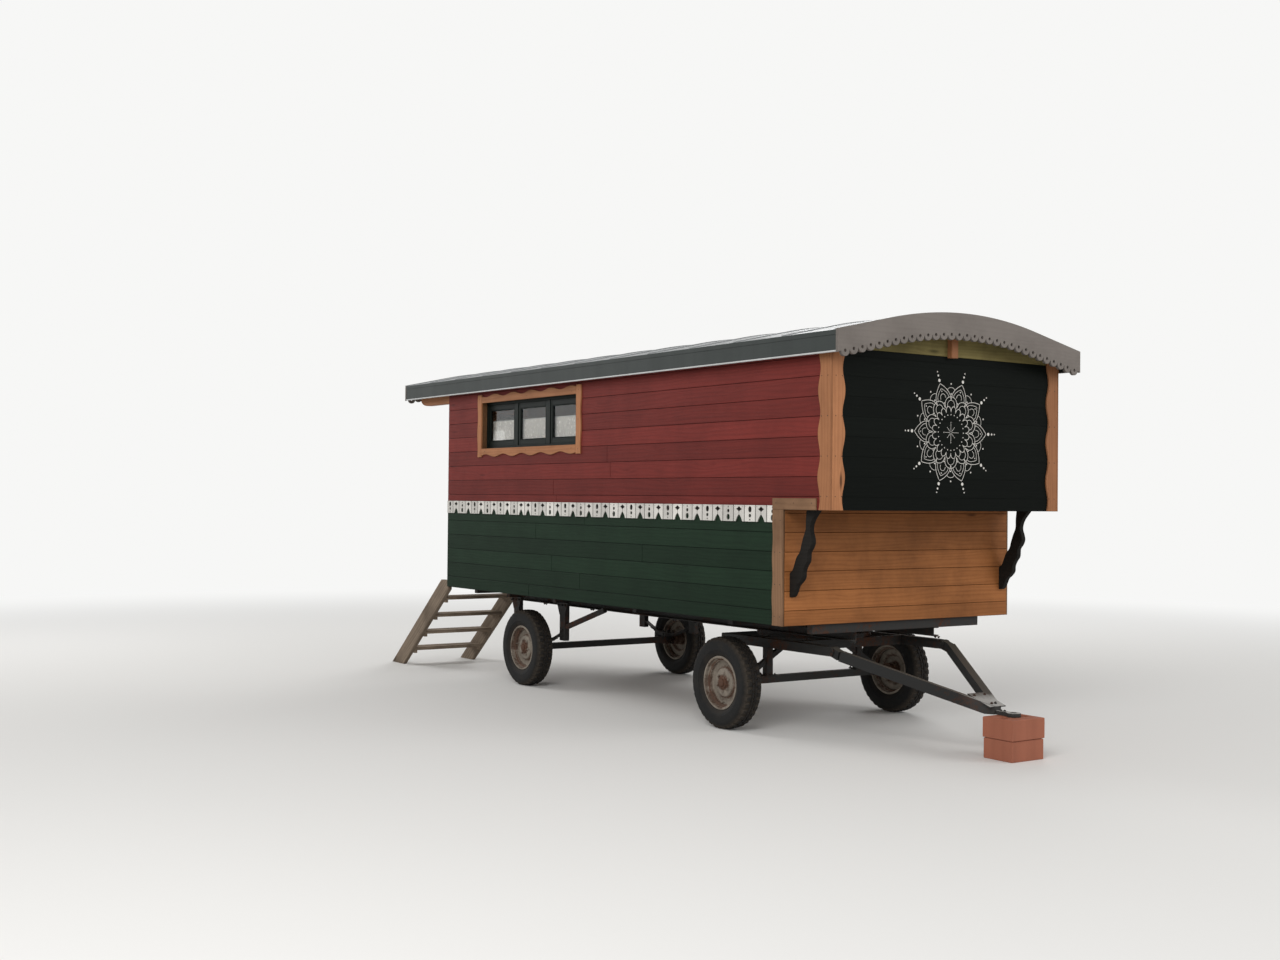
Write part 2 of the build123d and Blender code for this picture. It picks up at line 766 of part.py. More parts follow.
def corner_boards():
    # Boards over the front corners of both bodies, and along the alcove's lower edge.
    top = roof_line(roof_thick, outer_face) - trim_gap
    height = top - alcove_bottom
    board = wavy_board(height, corner_board + board_thick, corner_wave_pitch, corner_wave, board_thick)
    side_board = laid(board, (x_upper + board_thick, outer_face, alcove_bottom), (0, 0, 1), (-1, 0, 0))
    board = wavy_board(height, corner_board, corner_wave_pitch, corner_wave, board_thick)
    front_board = laid(board, (x_upper, half_wall, alcove_bottom), (0, 0, 1), (0, -1, 0))
    board = wavy_board(alcove_bottom - wall_bottom, corner_board, corner_wave_pitch, lower_wave,
                       board_thick)
    lower_board = laid(board, (x_front, outer_face, wall_bottom), (0, 0, 1), (-1, 0, 0))
    trim = slab((x_front - corner_board, x_upper - corner_board - corner_wave),
                (half_wall, outer_face), (alcove_bottom, alcove_bottom + alcove_trim))
    trim -= side_board
    boards = []
    for shape in (side_board, front_board, lower_board, trim):
        boards += both_sides(shape)
    return boards


def overhang_brackets():
    # A scrolled strut from the front wall to the alcove's underside, near each corner.
    outer = half_wall - bracket_inset
    y = (outer - bracket_thick, outer)
    middle = outer - bracket_thick / 2
    foot = (x_front + bracket_pad, middle, bracket_foot + bracket_pad)
    head = (x_front + bracket_reach - bracket_pad, middle, alcove_bottom - bracket_pad)
    strut = beam_between(foot, head, bracket_thick, bracket_width)
    run = Vector(*head) - Vector(*foot)
    for share, radius in bracket_lobes:
        place = Vector(*foot) + run * share
        strut += rod("Y", radius, tuple(place), bracket_thick)
    strut += slab((x_front, x_front + bracket_pad), y,
                  (bracket_foot, bracket_foot + bracket_pad_length))
    strut += slab((x_front + bracket_reach - bracket_pad_length,
                   x_front + bracket_reach + bracket_pad_lap), y,
                  (alcove_bottom - bracket_pad, alcove_bottom))
    keep = slab((x_front, x_upper), y, (wall_bottom, alcove_bottom))
    return both_sides(strut & keep)


# Windows
def window_frames():
    # Three glazed lights in one recessed frame.
    x, z = window_span()
    outer = half_wall - window_recess
    frame = slab(x, (outer - sash_thick, outer), z)
    for low, high in light_spans():
        hole = slab((low, high), (outer - sash_thick - 1, outer + 1),
                    (z[0] + sash_rail, z[1] - sash_rail))
        frame -= hole
    return both_sides(frame)


def light_spans():
    x, _ = window_span()
    pitch = window_length / light_count
    return [(x[0] + k * pitch + sash_stile, x[0] + (k + 1) * pitch - sash_stile)
            for k in range(light_count)]


def window_panes():
    _, z = window_span()
    middle = half_wall - window_recess - sash_thick / 2
    parts = []
    for span in light_spans():
        pane = slab(span, (middle - pane_thick / 2, middle + pane_thick / 2),
                    (z[0] + sash_rail, z[1] - sash_rail))
        parts += both_sides(pane)
    return parts


def window_architraves():
    # Wavy boards over and under the window, between two stiles.
    x, z = window_span()
    x = (x[0] + reveal_margin, x[1] - reveal_margin)
    z = (z[0] + reveal_margin, z[1] - reveal_margin)
    length = x[1] - x[0]
    height = z[1] - z[0] + 2 * architrave_width
    rail = wavy_board(length, architrave_width, window_wave_pitch, window_wave, board_thick)
    stile = wavy_board(height, architrave_width, window_wave_pitch, stile_wave, board_thick)
    foot = z[0] - architrave_width
    frame = laid(rail, (x[0], half_wall, z[0]), (1, 0, 0), (0, 0, -1))
    frame += laid(rail, (x[0], outer_face, z[1]), (1, 0, 0), (0, 0, 1))
    frame += laid(stile, (x[0], outer_face, foot), (0, 0, 1), (-1, 0, 0))
    frame += laid(stile, (x[1], half_wall, foot), (0, 0, 1), (1, 0, 0))
    return both_sides(frame)


def curtains():
    # Half curtains hung inside against the frame.
    _, z = window_span()
    outer = half_wall - window_recess - sash_thick - rest_gap
    parts = []
    for low, high in light_spans():
        foot = z[0] + sash_rail - curtain_drop
        parts += both_sides(slab((low - curtain_lap, high + curtain_lap),
                                 (outer - curtain_thick, outer), (foot, foot + curtain_height)))
    return parts


# Rear door
def hinge_place():
    y, _ = door_hole()
    return x_rear - eye_radius, y[0] + jamb + hinge_set_in


def door_frame():
    y, z = door_hole()
    frame = slab((x_rear, x_rear + wall_thick), y, z)
    inner_y = (y[0] + jamb, y[1] - jamb)
    frame -= slab((x_rear - 1, x_rear + wall_thick + 1), inner_y, (z[0] + sill, z[1] - jamb))
    stop_x = x_rear + door_thick + door_gap
    stop = slab((stop_x, stop_x + stop_thick), (inner_y[0], inner_y[1]), (z[0] + sill, z[1] - jamb))
    stop -= slab((x_rear, x_rear + wall_thick), (inner_y[0] + stop_width, inner_y[1] - stop_width),
                 (z[0], z[1] - jamb - stop_width))
    frame += stop
    axis_x, axis_y = hinge_place()
    for height in strap_heights:
        top = height - strap_width / 2 - side_gap
        frame += slab((x_rear - 2 * eye_radius, x_rear), (axis_y - jamb, axis_y),
                      (top - hinge_seat, top))
        frame += rod("Z", eye_radius, (axis_x, axis_y, top - hinge_seat / 2), hinge_seat)
        pin_top = height + strap_width / 2
        frame += rod("Z", pin_radius, (axis_x, axis_y, (top + pin_top) / 2), pin_top - top)
    return [frame]


def leaf_span():
    y, z = door_hole()
    return ((y[0] + jamb + door_gap, y[1] - jamb - door_gap),
            (z[0] + sill + door_gap, z[1] - jamb - door_gap))


def door_light():
    y, z = leaf_span()
    middle = (y[0] + y[1]) / 2
    top = z[1] - door_light_top
    return ((middle - door_light_width / 2, middle + door_light_width / 2),
            (top - door_light_height, top))


def door_leaf():
    y, z = leaf_span()
    leaf = slab((x_rear, x_rear + door_thick), y, z)
    light_y, light_z = door_light()
    leaf -= slab((x_rear - 1, x_rear + door_thick + 1), light_y, light_z)
    axis_x, axis_y = hinge_place()
    for height in strap_heights:
        span = (height - strap_width / 2, height + strap_width / 2)
        leaf += slab((x_rear - strap_thick, x_rear), (axis_y, axis_y + strap_length), span)
        leaf += rod("Z", eye_radius, (axis_x, axis_y, height), strap_width)
        leaf -= rod("Z", pin_radius + pin_clearance, (axis_x, axis_y, height), strap_width + 2)
    return [leaf]


def door_pane():
    y, z = door_light()
    middle = x_rear + door_thick / 2
    return [slab((middle - pane_thick / 2, middle + pane_thick / 2), y, z)]


def door_handle():
    # Plate, stem and lever, on the edge away from the hinges.
    y, _ = leaf_span()
    at = y[1] - handle_backset
    height = floor_top + handle_height
    width, tall, thick = handle_plate
    length, deep, wide = handle_grip
    face = x_rear - handle_stand
    plate = slab((x_rear - thick, x_rear), (at - width / 2, at + width / 2),
                 (height - tall / 2, height + tall / 2))
    stem = rod("X", handle_stem_radius, ((x_rear + face - wide) / 2, at, height), handle_stand + wide)
    grip = slab((face - wide, face), (at - length, at + deep / 2), (height - deep / 2, height + deep / 2))
    return [plate + stem + grip]


# Rear steps
def step_line(z):
    # Distance behind the rear wall at which the steps' centre line has this height.
    return x_rear - (floor_top - z) / tan(radians(step_slope))


def steps_stringers():
    # Longer than the flight at both ends, then cut level and plumb.
    start = (step_line(2 * floor_top), 0, 2 * floor_top)
    end = (step_line(-floor_top), 0, -floor_top)
    board = beam_between(start, end, stringer_thick, stringer_depth)
    keep = slab((step_line(-floor_top), x_rear), (-stringer_thick, stringer_thick),
                (0, floor_top - step_set_down))
    board &= keep
    low = -step_outer + stringer_thick / 2
    high = -step_outer + step_width - stringer_thick / 2
    return [Pos(0, low, 0) * board, Pos(0, high, 0) * board]


def steps_treads():
    rise = floor_top / (step_count + 1)
    y = (-step_outer + stringer_thick, -step_outer + step_width - stringer_thick)
    treads = []
    for k in range(1, step_count + 1):
        top = floor_top - k * rise
        x = step_line(top)
        treads.append(slab((x - tread_depth / 2, x + tread_depth / 2), y, (top - tread_thick, top)))
    return treads


nodes = {
    "chassis_rails": chassis_rails(),
    "chassis_cross_beams": chassis_cross_beams(),
    "plan_braces": plan_braces(),
    "rear_axle": axle_beam(x_rear_axle),
    "rear_hangers": rear_hangers(),
    "rear_springs": rear_springs(),
    "turntable_upper": turntable_upper(),
    "turntable_lower": turntable_lower(),
    "bogie_frame": bogie_frame(),
    "front_axle": axle_beam(x_front_axle),
    "drawbar_arms": drawbar_arms(),
    "towing_eye": towing_eye(),
    "support_block": support_block(),
    "floor": floor(),
    "lower_wall_right": lower_side(-1),
    "lower_wall_left": lower_side(1),
    "lower_wall_front": lower_wall_front(),
    "rear_wall_lower": rear_wall_lower(),
    "rear_wall_upper": rear_wall_upper(),
    "upper_wall_right": upper_side(-1),
    "upper_wall_left": upper_side(1),
    "upper_wall_front": upper_wall_front(),
    "alcove_floor": alcove_floor(),
    "roof_shell": roof_shell(),
    "side_fascias": side_fascias(),
    "front_fascia": end_fascia(x_roof_front - end_fascia_thick),
    "rear_fascia": end_fascia(x_roof_rear),
    "roof_purlins": roof_purlins(),
    "fret_bands": fret_bands(),
    "corner_boards": corner_boards(),
    "overhang_brackets": overhang_brackets(),
    "window_frames": window_frames(),
    "window_panes": window_panes(),
    "window_architraves": window_architraves(),
    "curtains": curtains(),
    "door_frame": door_frame(),
    "door_leaf": door_leaf(),
    "door_pane": door_pane(),
    "door_handle": door_handle(),
    "steps_stringers": steps_stringers(),
    "steps_treads": steps_treads(),
}
for name, x, side in wheel_places():
    nodes["tyre_" + name] = [placed(tyre(), x, side)]
    nodes["rim_" + name] = [placed(rim(), x, side)]

for name, parts in nodes.items():
    export_step(node(parts), f"parts/{name}.step")

print("front wall", x_front, "front axle", x_front_axle, "rear axle", x_rear_axle, "eye", x_eye)
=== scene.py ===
import math
import random

import bpy
from mathutils import Matrix, Vector
from mathutils.geometry import tessellate_polygon


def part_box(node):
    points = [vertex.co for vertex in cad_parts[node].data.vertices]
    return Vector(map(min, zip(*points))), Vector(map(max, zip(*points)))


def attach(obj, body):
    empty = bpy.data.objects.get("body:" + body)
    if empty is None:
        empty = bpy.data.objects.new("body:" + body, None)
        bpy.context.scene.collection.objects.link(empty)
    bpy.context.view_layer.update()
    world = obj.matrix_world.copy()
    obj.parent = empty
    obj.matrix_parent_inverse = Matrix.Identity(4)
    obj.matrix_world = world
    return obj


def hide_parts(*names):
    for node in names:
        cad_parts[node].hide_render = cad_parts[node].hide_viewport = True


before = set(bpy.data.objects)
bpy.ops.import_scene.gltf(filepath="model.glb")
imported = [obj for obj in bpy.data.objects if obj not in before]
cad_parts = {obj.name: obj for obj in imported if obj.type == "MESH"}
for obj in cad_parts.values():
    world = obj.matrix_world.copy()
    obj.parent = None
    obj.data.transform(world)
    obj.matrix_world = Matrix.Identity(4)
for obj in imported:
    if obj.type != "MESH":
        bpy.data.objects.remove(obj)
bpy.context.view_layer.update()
chance = random.Random(7)
print("frame loaded")

# Places read from the frame, in metres, +X towards the drawbar
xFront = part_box("lower_wall_front")[1].x
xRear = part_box("rear_wall_lower")[0].x
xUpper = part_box("upper_wall_front")[1].x
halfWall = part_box("lower_wall_front")[1].y
wallBottom, alcoveBottom = (corner.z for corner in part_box("lower_wall_front"))
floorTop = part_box("floor")[1].z
roofLow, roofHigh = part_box("roof_shell")
roofHalf = roofHigh.y
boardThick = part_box("corner_boards")[1].y - halfWall
boardPitch = 0.146
sides = ((-1, "Right"), (1, "Left"))
forwardAxis, leftAxis, upAxis = Vector((1, 0, 0)), Vector((0, 1, 0)), Vector((0, 0, 1))


def operator(operation, swapped=False):
    # A Python operator on wires that adds a Math node.
    def apply(wire, other):
        return wire.finish.maths(operation, *((other, wire) if swapped else (wire, other)))
    return apply


class Wire:
    # One output socket of a node.
    def __init__(self, finish, socket):
        self.finish = finish
        self.socket = socket

    __add__, __radd__ = operator("ADD"), operator("ADD", True)
    __sub__, __rsub__ = operator("SUBTRACT"), operator("SUBTRACT", True)
    __mul__, __rmul__ = operator("MULTIPLY"), operator("MULTIPLY", True)
    __pow__ = operator("POWER")


class Finish:
    # The nodes of a material or of the world, and the few ways they are made.
    def __init__(self, name, owners="materials"):
        self.owner = getattr(bpy.data, owners).new(name)
        self.owner.use_nodes = True
        self.tree = self.owner.node_tree
        self.tree.nodes.clear()

    def node(self, kind, settings=None, sockets=None, output=0):
        made = self.tree.nodes.new("ShaderNode" + kind)
        for name, value in (settings or {}).items():
            setattr(made, name, value)
        for name, value in (sockets or {}).items():
            socket = made.inputs[name]
            if isinstance(value, Wire):
                self.tree.links.new(value.socket, socket)
            else:
                socket.default_value = (*value, 1) if socket.type == "RGBA" else value
        return Wire(self, made.outputs[output]) if made.outputs else self.owner

    def maths(self, operation, *values):
        return self.node("Math", {"operation": operation}, dict(enumerate(values)))

    def vectors(self, operation, *values, output=0):
        return self.node("VectorMath", {"operation": operation}, dict(enumerate(values)), output)

    def scaled(self, vector, factors):
        return self.vectors("MULTIPLY", vector, factors)

    def ramp(self, value, *stops):
        made = self.node("ValToRGB", {}, {0: value})
        elements = made.socket.node.color_ramp.elements
        while len(elements) < len(stops):
            elements.new(0.5)
        for element, (place, level) in zip(elements, stops):
            element.position = place
            element.color = (level, level, level, 1)
        return made

    def mix(self, factor, first, second, kind="MIX"):
        settings = {"data_type": "RGBA", "blend_type": kind}
        return self.node("Mix", settings, {0: factor, 6: first, 7: second}, 2)

    def noise(self, vector, scale, detail=3.0, rough=0.5):
        sockets = {"Vector": vector, "Scale": scale, "Detail": detail, "Roughness": rough}
        return self.node("TexNoise", {}, sockets)

    def cells(self, vector, scale, output="Distance", feature="F1"):
        return self.node("TexVoronoi", {"feature": feature}, {"Vector": vector, "Scale": scale}, output)

    def place(self):
        return self.node("TexCoord", output="Object")

    def attribute(self, name, output="Fac"):
        return self.node("Attribute", {"attribute_name": name}, output=output)

    def parts(self, vector):
        first = self.node("SeparateXYZ", {}, {0: vector})
        return [Wire(self, output) for output in first.socket.node.outputs]

    def bump(self, height, strength, distance):
        return self.node("Bump", {}, {"Height": height, "Strength": strength, "Distance": distance})

    def surface(self, colour, rough, shine=0.5, **sockets):
        sockets.update({"Base Color": colour, "Roughness": rough, "Specular IOR Level": shine})
        return self.node("OutputMaterial", {}, {0: self.node("BsdfPrincipled", {}, sockets)})


def shaded(colour, share, lift=0.0):
    return tuple(min(1, c * share + lift) for c in colour)


def woodFinish(name, light, dark, ring=0.5, fibre=0.5, knots=0.5, rough=0.6, relief=0.5, dirt=0.3, shine=0.1,
               axis=None, seam=0.2):
    # Boards with growth rings, fibres and knots, and painted shade on their rims that darkens their seams
    # and the insides of their holes. The grain runs along the first axis of their own attribute, or along
    # the given axis of the frame.
    finish = Finish(name)
    place = finish.place()
    if axis is None:
        grain = finish.attribute("grain", "Vector")
        tone = finish.attribute("tone")
    else:
        ways = finish.parts(place)
        grain = finish.node("CombineXYZ", {}, {k: ways[(axis + k) % 3] for k in range(3)})
        tone = finish.noise(finish.scaled(grain, (0.01, 3, 3)), 1.0, 0.0)
    slow = finish.noise(finish.scaled(grain, (0.8, 6, 6)), 1.0, 2.0)
    spread = finish.scaled(grain, (1.6, 7.5, 3.0))
    knot = finish.cells(spread, 1.0)
    rare = finish.ramp(finish.parts(finish.cells(spread, 1.0, "Color"))[0], (0.55, 0), (0.6, 1))
    swirl = finish.ramp(knot, (0.0, 1), (0.32, 0)) * rare
    phase = finish.parts(grain)[1] * 190 + slow * 26 + swirl * 9
    rings = finish.maths("SINE", phase) * 0.5 + 0.5
    fibres = finish.noise(finish.scaled(grain, (5, 420, 420)), 1.0, 3.0, 0.7)
    streak = finish.noise(finish.scaled(grain, (0.9, 55, 55)), 1.0, 4.0, 0.6)
    figure = (rings ** 2.2) * (ring * 0.5) + finish.ramp(streak, (0.3, 0), (0.75, 1)) * (ring * 0.6)
    colour = finish.mix(figure + (fibres - 0.5) * fibre, light, dark)
    heart = finish.ramp(knot, (0.05, 1), (0.13, 0)) * rare * knots
    colour = finish.mix(heart, colour, shaded(dark, 0.28))
    shade = tone * 0.36 + 0.82
    grey = finish.node("CombineColor", {}, {k: shade for k in range(3)})
    colour = finish.mix(1.0, colour, grey, "MULTIPLY")
    soil = finish.ramp(finish.noise(place, 2.4, 5.0, 0.62), (0.42, 0), (0.72, 1)) * dirt
    colour = finish.mix(soil, colour, shaded(dark, 0.45, 0.004))
    # Painted shade: each piece's rims (its sides and chamfers, marked by the edge attribute) darken by the
    # share seam.
    colour = finish.mix(finish.attribute("edge") * seam, colour, shaded(dark, 0.2))
    normal = finish.bump(rings * 0.35 + fibres * 0.5 + streak * 0.6 - heart * 1.5, relief, 0.0012)
    roughness = finish.ramp(fibres + soil * 0.3, (0.2, rough - 0.12), (0.9, rough + 0.12))
    return finish.surface(colour, roughness, shine, Normal=normal)


def steelFinish(name, paint, rust, rustShare=0.5, rough=0.55, dust=0.4, wearAndSheenSpan=None):
    # Old paint over steel: rust in patches, dust on what faces up, and bare metal towards a worn end on the
    # faces that point up, which is partly wear and partly a painted highlight.
    finish = Finish(name)
    place = finish.place()
    broad = finish.noise(place, 2.3, 6.0, 0.65)
    fine = finish.noise(place, 34.0, 5.0, 0.7)
    rusty = finish.ramp(broad * 0.6 + fine * 0.4, (0.62 - rustShare * 0.3, 0), (0.74 - rustShare * 0.3, 1))
    tint = finish.mix(finish.noise(place, 90.0, 3.0, 0.6), rust, shaded(rust, 0.45))
    colour = finish.mix(rusty, paint, tint)
    up = finish.parts(finish.node("NewGeometry", output="Normal"))[2]
    settled = finish.ramp(up * 0.7 + broad * 0.3, (0.5, 0), (0.95, 1)) * dust
    colour = finish.mix(settled, colour, (0.17, 0.145, 0.115))
    if wearAndSheenSpan is not None:
        along = (finish.parts(place)[0] - wearAndSheenSpan[0]) * (1 / (wearAndSheenSpan[1] - wearAndSheenSpan[0]))
        bare = finish.ramp(along + (broad - 0.5) * 0.8 + (fine - 0.5) * 0.5, (0.35, 0), (0.75, 0.85))
        # Painted highlight, partly wear: the bare metal is kept to faces that point up, where the light
        # falls.
        colour = finish.mix(bare * finish.ramp(up, (0.6, 0.06), (0.85, 1)), colour, (0.4, 0.39, 0.37))
    normal = finish.bump(fine * 0.6 + rusty * 0.5, 0.5, 0.0016)
    roughness = rusty * (0.9 - rough) + rough + settled * 0.08
    return finish.surface(colour, roughness, 0.22, Normal=normal)


def wheelParts(finish):
    # The distance from a wheel's axis, which is the third of its own coordinates, and two noises.
    wheel = finish.attribute("grain", "Vector")
    radius = finish.vectors("LENGTH", finish.scaled(wheel, (1, 1, 0)), output="Value")
    return radius, finish.noise(wheel, 9.0, 5.0, 0.65), finish.noise(wheel, 60.0, 5.0, 0.7)


def rimFinish():
    # Dusty cream paint, rusted in rings where water stands.
    finish = Finish("rimPaint")
    radius, broad, fine = wheelParts(finish)
    rings = finish.ramp(radius, (0.03, 0.62), (0.055, 0.55), (0.07, 0.35), (0.085, 0.12), (0.108, 0.1),
                        (0.122, 0.5), (0.142, 0.2), (0.172, 0.08), (0.186, 0.6), (0.199, 0.34), (0.212, 0.16))
    rusty = finish.ramp(rings + (broad - 0.5) * 0.9 + (fine - 0.5) * 0.6, (0.24, 0), (0.52, 1))
    tint = finish.mix(fine, (0.13, 0.055, 0.028), (0.05, 0.024, 0.016))
    soil = finish.ramp(broad * 0.6 + fine * 0.4, (0.42, 0), (0.68, 1)) * 0.65
    colour = finish.mix(soil, finish.mix(rusty, (0.25, 0.215, 0.175), tint), (0.075, 0.062, 0.05))
    normal = finish.bump(fine * 0.6 + rusty * 0.5, 0.5, 0.0012)
    return finish.surface(colour, rusty * 0.2 + 0.62, 0.25, Normal=normal)


def tyreFinish():
    # Black rubber with fine ribs on its walls and dry soil in the tread's grooves.
    finish = Finish("tyreRubber")
    radius, broad, fine = wheelParts(finish)
    soilStops = ((0.23, 0.3), (0.26, 0.1), (0.33, 0.1), (0.35, 0.45), (0.363, 0.75), (0.369, 0.2))
    hold = finish.ramp(radius, *soilStops)
    soil = finish.ramp(hold + broad * 0.6 + (fine - 0.5) * 0.5, (0.4, 0), (1.05, 1)) * 0.7
    colour = finish.mix(soil, (0.0125, 0.0125, 0.0125), (0.06, 0.048, 0.037))
    wall = finish.ramp(radius, (0.25, 0), (0.26, 1), (0.335, 1), (0.345, 0))
    normal = finish.bump(finish.maths("SINE", radius * 1500) * wall * 0.35 + fine * 0.6, 0.45, 0.0012)
    return finish.surface(colour, soil * 0.2 + 0.7, 0.15, Normal=normal)


def paintFinish(name, paint, rough=0.5, streaks=0.3, relief=0.25):
    # Sheet, brick or board with faint runs of dirt down it.
    finish = Finish(name)
    place = finish.place()
    runs = finish.noise(finish.scaled(place, (9, 9, 0.9)), 1.0, 4.0, 0.6)
    patches = finish.noise(place, 1.7, 5.0, 0.6)
    fine = finish.noise(place, 140.0, 3.0, 0.6)
    soil = finish.ramp(runs * 0.6 + patches * 0.4, (0.4, 0), (0.75, 1)) * streaks
    colour = finish.mix(soil, paint, shaded(paint, 0.4, 0.01))
    colour = finish.mix(fine * 0.18, colour, shaded(paint, 1.5, 0.02))
    normal = finish.bump(fine * 0.4 + patches, relief, 0.0015)
    roughness = soil * 0.3 + fine * 0.1 + (rough - 0.05)
    return finish.surface(colour, roughness, 0.25, Normal=normal)


def glassFinish():
    finish = Finish("windowGlass")
    haze = finish.ramp(finish.noise(finish.place(), 9.0, 5.0, 0.6), (0.35, 0.02), (0.8, 0.12))
    clear = {"Transmission Weight": 1.0, "IOR": 1.38}
    return finish.surface((0.93, 0.94, 0.93), haze, 0.2, **clear)


def laceFinish():
    # White blossoms on a fine net that lets some light through.
    finish = Finish("lace")
    place = finish.place()
    blossom = finish.ramp(finish.cells(place, 27.0), (0.16, 1), (0.34, 0))
    thread = finish.ramp(finish.cells(place, 260.0, feature="DISTANCE_TO_EDGE"), (0.03, 1), (0.12, 0))
    cover = finish.maths("MAXIMUM", thread, blossom * 0.9) * 0.4 + 0.58
    colour = finish.mix(blossom, (0.78, 0.74, 0.69), (0.86, 0.83, 0.78))
    return finish.surface(colour, 0.9, Alpha=cover, Normal=finish.bump(cover, 0.4, 0.0008))


# seam is the share of painted shade on each piece's rims.
finishes = {
    "red": woodFinish("redBoards", (0.165, 0.024, 0.019), (0.088, 0.013, 0.011), 0.5, 0.4, 0.4, 0.6, 0.6,
                      seam=0.8),
    "green": woodFinish("greenBoards", (0.011, 0.026, 0.014), (0.005, 0.013, 0.007), 0.45, 0.4, 0.3, 0.6, 0.6,
                        shine=0.07, seam=0.8),
    "black": woodFinish("blackBoards", (0.0042, 0.0055, 0.0045), (0.002, 0.0028, 0.0022), 0.4, 0.4, 0.2, 0.6,
                        0.5, 0.2, 0.035, seam=0.8),
    "pine": woodFinish("pineBoards", (0.33, 0.128, 0.042), (0.17, 0.058, 0.018), 0.5, 0.5, 1.0, 0.55, 0.6,
                       0.45, seam=0.85),
    "trim": woodFinish("pineTrim", (0.42, 0.185, 0.085), (0.24, 0.095, 0.04), 0.55, 0.5, 0.9, 0.55, 0.6),
    # A darker, greyer copy of the trim for the boards under the alcove's overhang: painted shade.
    "weathered": woodFinish("shadedPineTrim", (0.3, 0.17, 0.095), (0.17, 0.09, 0.05), 0.55, 0.6, 0.9, 0.7, 0.7,
                            0.6),
    "lining": woodFinish("lining", (0.14, 0.07, 0.032), (0.08, 0.036, 0.016), 0.6, 0.5, 0.5, 0.6, axis=0),
    "dark": woodFinish("darkWood", (0.014, 0.0125, 0.011), (0.006, 0.0055, 0.005), 0.5, 0.5, 0.2, 0.65, 0.7,
                       shine=0.08),
    "white": woodFinish("whitePaint", (0.7, 0.68, 0.64), (0.52, 0.49, 0.44), 0.25, 0.25, 0.15, 0.6, 0.4, 0.3,
                        seam=0.85),
    "taupe": woodFinish("taupePaint", (0.165, 0.146, 0.132), (0.12, 0.104, 0.094), 0.3, 0.3, 0.1, 0.6, 0.5),
    "frame": woodFinish("blackFrame", (0.0055, 0.0095, 0.0075), (0.003, 0.005, 0.004), 0.3, 0.4, 0.0, 0.45,
                        0.4),
    "door": woodFinish("greenDoor", (0.012, 0.028, 0.016), (0.006, 0.014, 0.008), 0.4, 0.4, 0.3, 0.55, 0.5),
    "step": woodFinish("stepWood", (0.3, 0.235, 0.175), (0.14, 0.105, 0.078), 0.8, 0.8, 0.7, 0.8, 0.9, 0.6),
    "soffit": woodFinish("soffit", (0.19, 0.155, 0.06), (0.1, 0.082, 0.03), 0.5, 0.5, 0.6, 0.7, 0.5, 0.5,
                         seam=0.6),
    "underside": woodFinish("underside", (0.2, 0.12, 0.06), (0.1, 0.055, 0.028), 0.7, 0.6, 0.6, 0.8, 0.7, 0.6,
                            axis=0),
    "steel": steelFinish("darkSteel", (0.019, 0.0185, 0.0175), (0.1, 0.036, 0.016), 0.35),
    # The drawbar's tops turn to bare metal towards the eye, partly wear and partly a painted highlight.
    "drawbar": steelFinish("drawbarSteel", (0.016, 0.016, 0.0155), (0.08, 0.03, 0.014), 0.22, 0.55, 0.45,
                           (3.47, 3.72)),
    "bare": steelFinish("bareSteel", (0.4, 0.4, 0.39), (0.2, 0.1, 0.055), 0.3, 0.42),
    "slate": paintFinish("slatePaint", (0.021, 0.027, 0.025), 0.55),
    "sheet": paintFinish("roofSheet", (0.28, 0.29, 0.295), 0.42, 0.5),
    "strip": paintFinish("dripStrip", (0.5, 0.51, 0.51), 0.35, 0.4),
    "clay": paintFinish("firedClay", (0.33, 0.118, 0.07), 0.85, 0.55, 1.0),
    "rim": rimFinish(),
    "tyre": tyreFinish(),
    "glass": glassFinish(),
    "lace": laceFinish(),
}
print("finishes made:", len(finishes))


# Flat shapes, and how they become pieces

def rectangle(width, height, x=0.0, y=0.0):
    return [Vector((x, y)), Vector((x + width, y)), Vector((x + width, y + height)), Vector((x, y + height))]


def arcPoints(centre, radius, start, end, count):
    angles = [start + (end - start) * k / count for k in range(count + 1)]
    return [Vector((centre[0] + radius * math.cos(a), centre[1] + radius * math.sin(a))) for a in angles]


def circle(centre, radius, count=20):
    return arcPoints(centre, radius, 0, 2 * math.pi, count)[:-1]


def signedArea(loop):
    return sum(loop[k - 1].cross(point) for k, point in enumerate(loop)) / 2


def inset(loop, distance):
    # The loop moved to its left by a distance, its corners mitred.
    moved = []
    for k, point in enumerate(loop):
        before = (point - loop[k - 1]).normalized()
        after = (loop[(k + 1) % len(loop)] - point).normalized()
        first, second = Vector((-before.y, before.x)), Vector((-after.y, after.x))
        moved.append(point + (first + second) * (distance / max(0.4, 1 + first.dot(second))))
    return moved


